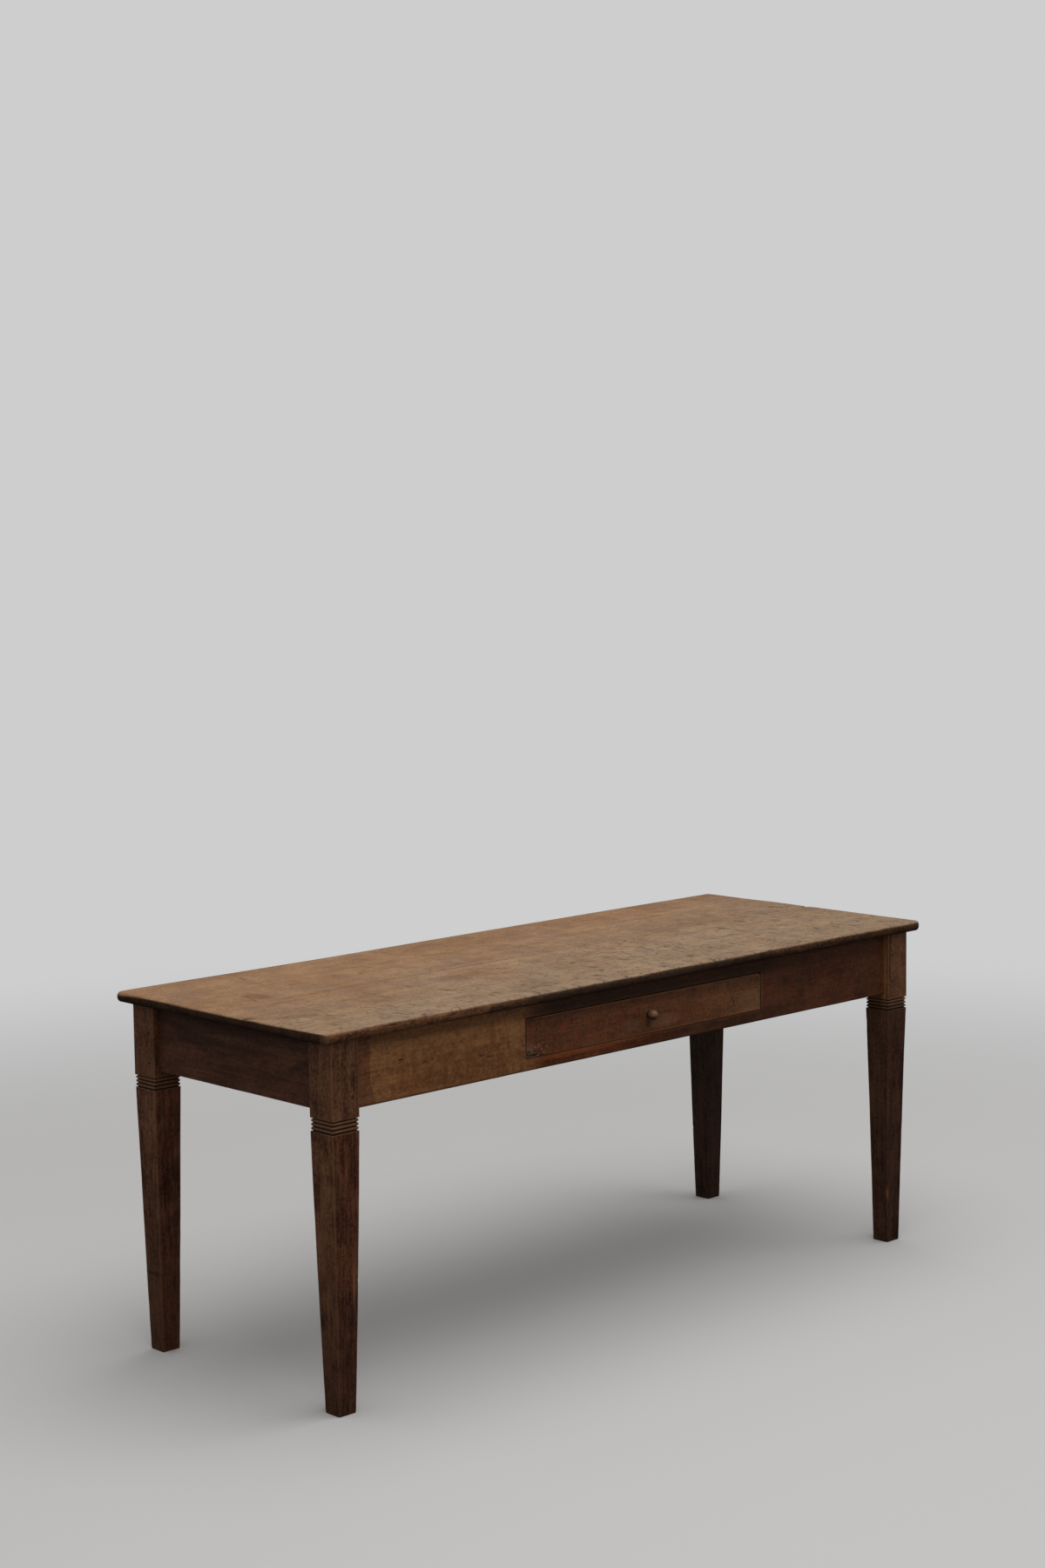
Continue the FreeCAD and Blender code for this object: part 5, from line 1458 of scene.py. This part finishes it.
def leg_tree():
    """A leg whose half width follows its height: taper, band of reeds, square block, with worn arrises."""
    lengths = {name: "Float" for name in LEG_LENGTHS}
    tree = Tree("worn_leg", {**lengths, "Seed": "Float", "Material": "Material"})
    get = tree.given
    steps = SHAFT_STEPS + BAND_STEPS + BLOCK_STEPS
    blank = tree.node("GeometryNodeMeshCylinder", None,
                      {"Vertices": LEG_TURNS, "Side Segments": steps, "Radius": 1.0, "Depth": 1.0}, "Mesh")
    x, y, z = tree.split(tree.node("GeometryNodeInputPosition"))
    share = z + 0.5
    band_top = get["Height"] - get["Block Height"]
    band_bottom = band_top - get["Band Height"]
    first, second = SHAFT_STEPS / steps, (SHAFT_STEPS + BAND_STEPS) / steps
    height = (tree.ramp(share, 0.0, first, 0.0, band_bottom - BAND_MARGIN)
              + tree.ramp(share, first, second, 0.0, get["Band Height"] + 2 * BAND_MARGIN)
              + tree.ramp(share, second, 1.0, 0.0, get["Block Height"] - BAND_MARGIN))

    def eased(distance):
        """How far an edge is rounded back, by the distance from it."""
        near = tree.ramp(distance, 0.0, EDGE_EASE, 1.0, 0.0)
        return EDGE_EASE * (1 - (1 - near * near) ** 0.5)

    pitch = get["Reed"] + get["Groove"]
    over_reed = height - band_bottom - get["Groove"] - get["Reed"] / 2
    from_reed = abs(tree.math("WRAP", over_reed, pitch / 2, pitch * -0.5))
    radius = get["Reed Radius"]
    beyond = tree.math("MINIMUM", tree.math("MAXIMUM", from_reed - get["Reed"] / 2 + radius, 0.0), radius)
    bead = get["Crest Inset"] + radius - (radius * radius - beyond * beyond + TINY) ** 0.5
    bead = tree.math("MINIMUM", bead, get["Groove Inset"])
    in_band = (height > band_bottom) * (height < band_top)
    in_block = 1 - (height < band_top)
    in_shaft = 1 - (height > band_bottom)
    taper = get["Foot Width"] + (get["Shaft Width"] - get["Foot Width"]) * height / band_bottom
    half = (in_shaft * (taper / 2 - eased(band_bottom - height) - eased(height + FOOT_GAP) * FOOT_SHARE)
            + in_band * (get["Block Width"] / 2 - bead)
            + in_block * (get["Block Width"] / 2 - eased(height - band_top)))

    angle = tree.math("ARCTAN2", y, x)
    face = tree.math("ROUND", angle / (math.pi / 2)) * (math.pi / 2)
    swing = (angle - face) * 2
    where = tree.join(x * CHANCE_RADIUS, y * CHANCE_RADIUS, height)

    def chance(scale, shift, detail=1):
        """Noise along the leg, from 0 to 1."""
        return tree.noise(where, scale, detail, 0, get["Seed"] + shift)

    sway = (chance(SLOW_SWAY, 0) - 0.5) + (chance(QUICK_SWAY, 3) - 0.5) * QUICK_SHARE
    along = height / band_bottom
    belly = get["Swell"] * along * (1 - along) * 4 + get["Flare"] * along ** 3.0
    half = (half + (sway * get["Sway"] + belly) * in_shaft
            + (sway * BLOCK_SWAY + BLOCK_STAND) * get["Sway"] * in_block)
    knocks = tree.ramp(chance(KNOCK_WAVES, 7), *KNOCK_LEVELS, 0.0, 1.0)
    usual = ARRIS_LEAST + chance(ARRIS_WAVES, 5, 2) * ARRIS_CHANCE
    rounding = get["Arris"] * usual + get["Chip"] * knocks
    side = half * tree.math("SINE", swing)
    reach = abs(side)
    bend = tree.ramp(half - reach, 0.0, rounding, math.pi / 4, 0.0)
    depth = half - rounding + rounding * tree.math("COSINE", bend)
    across = tree.math("SIGN", side) * (tree.math("MINIMUM", reach, half - rounding)
                                        + rounding * tree.math("SINE", bend))
    turn_x, turn_y = tree.math("COSINE", face), tree.math("SINE", face)
    position = tree.join(depth * turn_x - across * turn_y, depth * turn_y + across * turn_x, height)
    shaped = tree.node("GeometryNodeSetPosition", None, {"Geometry": blank, "Position": position})
    tree.close(shaped)
    return tree


# Shares of a fixing's radius: its head's top, its shank's end and the bar that cuts a screw's slot.
HEAD_TOP_SHARE, SHANK_END_SHARE, BAR_SHARE = 0.86, 0.6, 3
PEG_SIDES, NAIL_SIDES, SCREW_SIDES = 11, 9, 20


def fixing_tree(name, slotted=False):
    """A round-headed fixing on every point, along the point's own way out, each with a chance turn."""
    labels = ("Head Radius", "Head Height", "Shank Radius", "Length", "Slot Width", "Slot Depth")
    lengths = {label: "Float" for label in labels}
    tree = Tree(name, {**lengths, "Sides": "Int", "Seed": "Int", "Material": "Material"})
    get = tree.given
    head = tree.node("GeometryNodeMeshCone", None,
                     {"Vertices": get["Sides"], "Radius Top": get["Head Radius"] * HEAD_TOP_SHARE,
                      "Radius Bottom": get["Head Radius"], "Depth": get["Head Height"]}, "Mesh")
    shank = tree.node("GeometryNodeMeshCone", None,
                      {"Vertices": get["Sides"], "Radius Top": get["Shank Radius"],
                       "Radius Bottom": get["Shank Radius"] * SHANK_END_SHARE,
                       "Depth": get["Length"]}, "Mesh")
    shank = tree.node("GeometryNodeTransform", None,
                      {"Geometry": shank, "Translation": tree.join(0.0, 0.0, get["Length"] * -1)})
    if slotted:
        size = tree.join(get["Head Radius"] * BAR_SHARE, get["Slot Width"], get["Slot Depth"] * 2)
        bar = tree.node("GeometryNodeMeshCube", None, {"Size": size}, "Mesh")
        bar = tree.node("GeometryNodeTransform", None,
                        {"Geometry": bar, "Translation": tree.join(0.0, 0.0, get["Head Height"])})
        head = tree.node("GeometryNodeMeshBoolean", {"operation": "DIFFERENCE", "solver": "EXACT"},
                         {"Mesh 1": head, "Mesh 2": bar}, "Mesh")
    both = tree.tree.nodes.new("GeometryNodeJoinGeometry")
    for part in (head, shank):
        tree.tree.links.new(part.socket, both.inputs[0])
    way = tree.node("GeometryNodeInputNamedAttribute", {"data_type": "FLOAT_VECTOR"},
                    {"Name": "way_out"}, "Attribute")
    chance = tree.node("FunctionNodeRandomValue", {"data_type": "FLOAT"}, {"Seed": get["Seed"]}, 1)
    spin = tree.node("FunctionNodeEulerToRotation", None, {0: tree.join(0.0, 0.0, chance * math.tau)})
    aimed = tree.node("FunctionNodeAlignRotationToVector", {"axis": "Z"}, {"Vector": way})
    turned = tree.node("FunctionNodeRotateRotation", {"rotation_space": "LOCAL"},
                       {"Rotation": aimed, "Rotate By": spin})
    fixing = Term(tree, both.outputs[0])
    placed = tree.node("GeometryNodeInstanceOnPoints", None,
                       {"Points": get["Geometry"], "Instance": fixing, "Rotation": turned})
    tree.close(placed)
    return tree


def solids_of(node):
    """The box of each separate solid in a CAD node, as (lowest corner, highest corner)."""
    shell = bmesh.new()
    shell.from_mesh(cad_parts[node].data)
    bmesh.ops.remove_doubles(shell, verts=shell.verts, dist=MERGE)
    left, boxes = set(shell.verts), []
    for seed in list(shell.verts):
        if seed not in left:
            continue
        island, front = [], [seed]
        left.discard(seed)
        while front:
            vert = front.pop()
            island.append(vert.co.copy())
            for edge in vert.link_edges:
                other = edge.other_vert(vert)
                if other in left:
                    left.discard(other)
                    front.append(other)
        spots = np.array(island)
        boxes.append((spots.min(0), spots.max(0)))
    shell.free()
    return boxes


# Which way the fixings' heads face; outwards is away from the table's middle.
UP, DOWN, OUTWARDS = 1, -1, 0


def heads(nodes, facing):
    """A mesh of points where the heads of these nodes' fixings lie, each with its way out."""
    spots, ways = [], []
    for node in nodes:
        for low, high in solids_of(node):
            axis = int(np.argmax(high - low))
            spot, way = (low + high) / 2, np.zeros(3)
            way[axis] = facing or math.copysign(1, spot[axis])
            spot[axis] = high[axis] if way[axis] > 0 else low[axis]
            spots.append(spot)
            ways.append(way)
    mesh = bpy.data.meshes.new("heads")
    mesh.from_pydata(np.array(spots).tolist(), [], [])
    way_out = mesh.attributes.new("way_out", "FLOAT_VECTOR", "POINT")
    way_out.data.foreach_set("vector", np.array(ways).ravel())
    return mesh


# Operators.

# Seeds of the pieces' chance.
APRON_SEED, APRON_SEED_STEP, BOX_SEED, INNER_SEED = 40, 5, 60, 70


def look_of(context):
    """What a user has set for the table."""
    return context.scene.table_look


class TABLE_OT_top_boards(bpy.types.Operator):
    """Makes the two scrubbed boards of the top"""

    bl_idname = "kitchen_table.top_boards"
    bl_label = "Top boards"

    def execute(self, context):
        look = look_of(context).top
        material = top_wood(look)
        for node, side in (("top_front_board", -1), ("top_back_board", 1)):
            mesh = top_board(node, side, look)
            add_piece("scrubbed_" + node, mesh, "frame", "scrubbed_top_wood", material, node)
        return {"FINISHED"}


class TABLE_OT_legs(bpy.types.Operator):
    """Makes the four tapered legs with their reeds"""

    bl_idname = "kitchen_table.legs"
    bl_label = "Legs"

    def execute(self, context):
        look = look_of(context).leg
        tree, material = leg_tree(), leg_wood(look)
        for count, (node, (swell, flare, dull)) in enumerate(LEG_SHAPE_AND_SHADE.items()):
            low, high = BOXES[node]
            width, height = high.x - low.x + 2 * look.spread, high.z - max(low.z, 0)
            sizes = (width, height, look.block_height, look.band_height, look.shaft, look.foot, look.reed,
                     look.groove, look.reed_radius, look.crest, look.floor, look.arris, look.chip,
                     look.sway, swell, flare)
            values = {**dict(zip(LEG_LENGTHS, sizes)), "Seed": LEG_SEED + LEG_SEED_STEP * count,
                      "Material": material}
            mesh = tree.grow(bpy.data.meshes.new("blank"), values)
            centre = (low + high) / 2
            mesh.transform(Matrix.Translation((centre.x, centre.y, 0)))
            normals = read(mesh.vertices, "normal", 3)
            to_front = np.abs(normals[:, 1]) - np.abs(normals[:, 0])
            store(mesh, "front", np.clip(to_front * FACE_STEEPNESS + 0.5, 0, 1))
            # Painted shade on the far legs, full on the faces turned left and to the front.
            turned = np.clip(0.5 - normals[:, 0] - normals[:, 1], 0, 1)
            store(mesh, "dull", dull * (LEG_BRIGHT_SHARE + (1 - LEG_BRIGHT_SHARE) * turned))
            points, mark = read(mesh.vertices, "co", 3), np.zeros(len(mesh.vertices))
            for *spot, strength in LEG_MARKS:
                spread = ((points - spot[:3]) / spot[3:]) ** 2
                mark += strength * bell(np.sqrt(spread.sum(1)))
            store(mesh, "mark", mark)
            add_piece("worn_" + node, mesh, "frame", "leg_wood", material, node)
        return {"FINISHED"}


class TABLE_OT_aprons(bpy.types.Operator):
    """Makes the four aprons, the front one with the drawer's opening"""

    bl_idname = "kitchen_table.aprons"
    bl_label = "Aprons"

    def execute(self, context):
        look = look_of(context).rail
        woods = {
            "apron_front": front_apron_wood(look),
            "apron_back": apron_wood("back_apron_wood", "X", 6, look.brown, look),
            "apron_left": apron_wood("left_apron_wood", "Y", 8, look.dark, look),
            "apron_right": apron_wood("right_apron_wood", "Y", 10, look.dark, look),
        }
        for seed, (node, material) in enumerate(woods.items()):
            mesh = apron(node, look, APRON_SEED + APRON_SEED_STEP * seed)
            add_piece("worn_" + node, mesh, "frame", "apron_wood", material, node)
        return {"FINISHED"}


class TABLE_OT_drawer_front(bpy.types.Operator):
    """Makes the drawer front with its broken corner"""

    bl_idname = "kitchen_table.drawer_front"
    bl_label = "Drawer front"

    def execute(self, context):
        look = look_of(context).drawer
        mesh, material = drawer_front(look), drawer_front_wood(look)
        add_piece("worn_drawer_front", mesh, "drawer", "drawer_front_wood", material, "drawer_front")
        return {"FINISHED"}


class TABLE_OT_knob(bpy.types.Operator):
    """Turns the drawer's knob"""

    bl_idname = "kitchen_table.knob"
    bl_label = "Knob"

    def execute(self, context):
        look = look_of(context).drawer
        add_piece("turned_knob", knob(look), "drawer", "knob_wood", knob_wood(look), "drawer_knob")
        return {"FINISHED"}


class TABLE_OT_drawer_box(bpy.types.Operator):
    """Eases the arrises of the dovetailed drawer box"""

    bl_idname = "kitchen_table.drawer_box"
    bl_label = "Drawer box"

    def execute(self, context):
        look = look_of(context).drawer
        along_y = plain_wood("drawer_side_wood", "Y", 14, look.box)
        along_x = plain_wood("drawer_back_wood", "X", 15, look.box)
        for seed, node in enumerate(DRAWER_BOX_NODES):
            material = along_y if "side" in node else along_x
            mesh = ease(joined_copy(node), look.box_arris, BOX_SEED + seed, segments=2)
            add_piece("eased_" + node, mesh, "drawer", "drawer_box_wood", material, node)
        return {"FINISHED"}


class TABLE_OT_inner_pieces(bpy.types.Operator):
    """Eases the arrises of the runners, guides, kickers, stops and buttons"""

    bl_idname = "kitchen_table.inner_pieces"
    bl_label = "Inner pieces"

    def execute(self, context):
        look = look_of(context).fixing
        material = plain_wood("inner_wood", "Y", 16, look.inner)
        for seed, node in enumerate(RAIL_NODES + BUTTON_NODES):
            mesh = ease(joined_copy(node), look.arris, INNER_SEED + seed, segments=2)
            add_piece("eased_" + node, mesh, "frame", "inner_wood", material, node)
        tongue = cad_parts["top_tongue"]
        tongue.data.materials.clear()
        tongue.data.materials.append(plain_wood("tongue_wood", "X", 18, look.inner))
        return {"FINISHED"}


class TABLE_OT_fixings(bpy.types.Operator):
    """Drives the pegs, nails and screws"""

    bl_idname = "kitchen_table.fixings"
    bl_label = "Pegs, nails and screws"

    def execute(self, context):
        look = look_of(context).fixing
        peg_wood = plain_wood("peg_wood", "Z", 19, look.peg_brown)
        metal = iron(look)
        nail_tree, screw_tree = fixing_tree("driven_fixing"), fixing_tree("slotted_screw", slotted=True)
        shared = {"Slot Width": look.slot, "Slot Depth": look.slot_depth, "Seed": look.seed}

        peg = {"Head Radius": look.peg, "Head Height": look.proud, "Shank Radius": look.peg,
               "Length": look.peg_length, "Sides": PEG_SIDES, "Material": peg_wood}
        nail = {"Head Radius": look.nail_head, "Head Height": look.nail_stand,
                "Shank Radius": look.nail_head / 2, "Length": look.nail_length, "Sides": NAIL_SIDES,
                "Material": metal}
        screw = {"Head Radius": look.screw_head, "Head Height": look.screw_stand,
                 "Shank Radius": look.screw_shank, "Length": look.screw_length, "Sides": SCREW_SIDES,
                 "Material": metal}
        groups = (
            ("whittled_pegs", nail_tree, peg, PEG_NODES, OUTWARDS, "frame", "peg_wood"),
            ("runner_nail_heads", nail_tree, nail, ("runner_nails",), UP, "frame", "dull_iron"),
            ("bottom_nail_heads", nail_tree, nail, ("drawer_bottom_nails",), DOWN, "drawer", "dull_iron"),
            ("slotted_screws", screw_tree, screw, ("button_screws",), DOWN, "frame", "dull_iron"),
        )
        for name, tree, sizes, nodes, facing, body, slot in groups:
            base = heads(nodes, facing)
            mesh = tree.grow(base, {**shared, **sizes})
            add_piece(name, mesh, body, slot, sizes["Material"], *nodes)
        return {"FINISHED"}


EYE = (-3.991569, -4.119689, 1.737322)
YAW, PITCH, ROLL = (math.radians(angle) for angle in (43.675874, 6.060224, -0.785562))
SENSOR = 36
FLOOR_RADIUS = 16.0
FLOOR_STEPS = 64
# The distances between which the floor fades into the backdrop.
FLOOR_FADE = (1.5, 4.6)
# The two soft lights: side of the square and place. Both aim at the table's middle.
KEY_SIZE, KEY_PLACE = 4.2, (0.3, -0.7, 4.4)
FILL_SIZE, FILL_PLACE = 2.4, (-3.2, -3.8, 2.2)
LIGHT_TARGET = (0, 0, 0.6)


def camera_matrix():
    """The camera's place and turn: yaw from +Y towards +X, pitch downwards and roll about the view."""
    forward = Vector((math.sin(YAW) * math.cos(PITCH), math.cos(YAW) * math.cos(PITCH), -math.sin(PITCH)))
    right = Vector((math.cos(YAW), -math.sin(YAW), 0))
    up = right.cross(forward)
    level_x = math.cos(ROLL) * right + math.sin(ROLL) * up
    level_y = math.cos(ROLL) * up - math.sin(ROLL) * right
    turn = Matrix((level_x, level_y, -forward)).transposed().to_4x4()
    return Matrix.Translation(EYE) @ turn


def floor_material(look):
    """A pale floor that takes the table's shadow, fades into the backdrop and is clear from below."""
    pale = Finish("pale_floor")
    distance = pale.node("ShaderNodeVectorMath", {"operation": "LENGTH"}, {0: pale.place}, "Value")
    far = pale.rise(distance, *FLOOR_FADE)
    seen = pale.node("ShaderNodeLightPath", out="Is Camera Ray")
    plain = pale.node("ShaderNodeBsdfDiffuse", None, {"Color": pale.mix(seen, look.bounce, look.floor)})
    glow = pale.node("ShaderNodeEmission", None, {"Color": look.backdrop})
    shader = pale.node("ShaderNodeMixShader", None, {0: far * seen, 1: plain, 2: glow})
    below = pale.node("ShaderNodeNewGeometry", out="Backfacing")
    clear = pale.node("ShaderNodeBsdfTransparent")
    return pale.close(pale.node("ShaderNodeMixShader", None, {0: below * seen, 1: shader, 2: clear}))


def soft_light(name, power, size, place):
    """A large square light, aimed at the table, that the camera doesn't see."""
    lamp = bpy.data.lights.new(name, "AREA")
    lamp.energy, lamp.size = power, size
    holder = bpy.data.objects.new(name, lamp)
    holder.location = place
    holder.rotation_euler = (Vector(LIGHT_TARGET) - Vector(place)).to_track_quat("-Z", "Y").to_euler()
    holder.visible_camera = False
    bpy.context.scene.collection.objects.link(holder)


class TABLE_OT_stage(bpy.types.Operator):
    """Lays the pale floor and sets up the soft light, the backdrop and the camera"""

    bl_idname = "kitchen_table.stage"
    bl_label = "Stage"

    def execute(self, context):
        look = look_of(context).stage
        scene = context.scene
        scene.view_settings.view_transform = "Standard"
        turns = [math.tau * k / FLOOR_STEPS for k in range(FLOOR_STEPS)]
        rim = [(FLOOR_RADIUS * math.cos(turn), FLOOR_RADIUS * math.sin(turn), 0) for turn in turns]
        mesh = bpy.data.meshes.new("floor")
        mesh.from_pydata(rim, [], [list(range(FLOOR_STEPS))])
        mesh.materials.append(floor_material(look))
        floor = bpy.data.objects.new("floor", mesh)
        scene.collection.objects.link(floor)

        soft_light("key_light", look.key, KEY_SIZE, KEY_PLACE)
        soft_light("fill_light", look.fill, FILL_SIZE, FILL_PLACE)

        world = bpy.data.worlds.new("studio")
        world.use_nodes = True
        graph = Graph(world.node_tree)
        graph.tree.nodes.clear()
        seen = graph.node("ShaderNodeLightPath", out="Is Camera Ray")
        air = graph.node("ShaderNodeBackground", None, {"Color": (1, 1, 1), "Strength": look.ambient})
        shown = graph.node("ShaderNodeBackground", None, {"Color": look.backdrop})
        shader = graph.node("ShaderNodeMixShader", None, {0: seen, 1: air, 2: shown})
        graph.node("ShaderNodeOutputWorld", None, {"Surface": shader})
        scene.world = world

        lens = bpy.data.cameras.new("camera")
        lens.lens = look.lens
        lens.sensor_width = SENSOR
        camera = bpy.data.objects.new("camera", lens)
        camera.matrix_world = camera_matrix()
        scene.collection.objects.link(camera)
        scene.camera = camera
        return {"FINISHED"}


OPERATORS = (TABLE_OT_top_boards, TABLE_OT_legs, TABLE_OT_aprons, TABLE_OT_drawer_front, TABLE_OT_knob,
             TABLE_OT_drawer_box, TABLE_OT_inner_pieces, TABLE_OT_fixings, TABLE_OT_stage)


class TABLE_PT_panel(bpy.types.Panel):
    """Lists the table's pieces and what can be changed on them"""

    bl_idname = "TABLE_PT_panel"
    bl_label = "Kitchen Table"
    bl_space_type = "VIEW_3D"
    bl_region_type = "UI"
    bl_category = "Kitchen Table"

    def draw(self, context):
        for operator in OPERATORS:
            self.layout.operator(operator.bl_idname)
        look = look_of(context)
        for group in ("top", "leg", "rail", "drawer", "fixing", "stage"):
            box = self.layout.box()
            part = getattr(look, group)
            for name in part.__annotations__:
                box.prop(part, name)


CLASSES = (TopLook, LegLook, RailLook, DrawerLook, FixingLook, StageLook, TableLook, *OPERATORS,
           TABLE_PT_panel)


def register():
    """Adds the table's classes and what a user can set."""
    for cls in CLASSES:
        bpy.utils.register_class(cls)
    bpy.types.Scene.table_look = PointerProperty(type=TableLook)


def unregister():
    """Takes them out again."""
    del bpy.types.Scene.table_look
    for cls in reversed(CLASSES):
        bpy.utils.unregister_class(cls)


def main():
    """Makes the pieces in order."""
    register()
    bpy.ops.kitchen_table.top_boards()
    bpy.ops.kitchen_table.legs()
    bpy.ops.kitchen_table.aprons()
    bpy.ops.kitchen_table.drawer_front()
    bpy.ops.kitchen_table.knob()
    bpy.ops.kitchen_table.drawer_box()
    bpy.ops.kitchen_table.inner_pieces()
    bpy.ops.kitchen_table.fixings()
    bpy.ops.kitchen_table.stage()


if __name__ == "__main__":
    main()
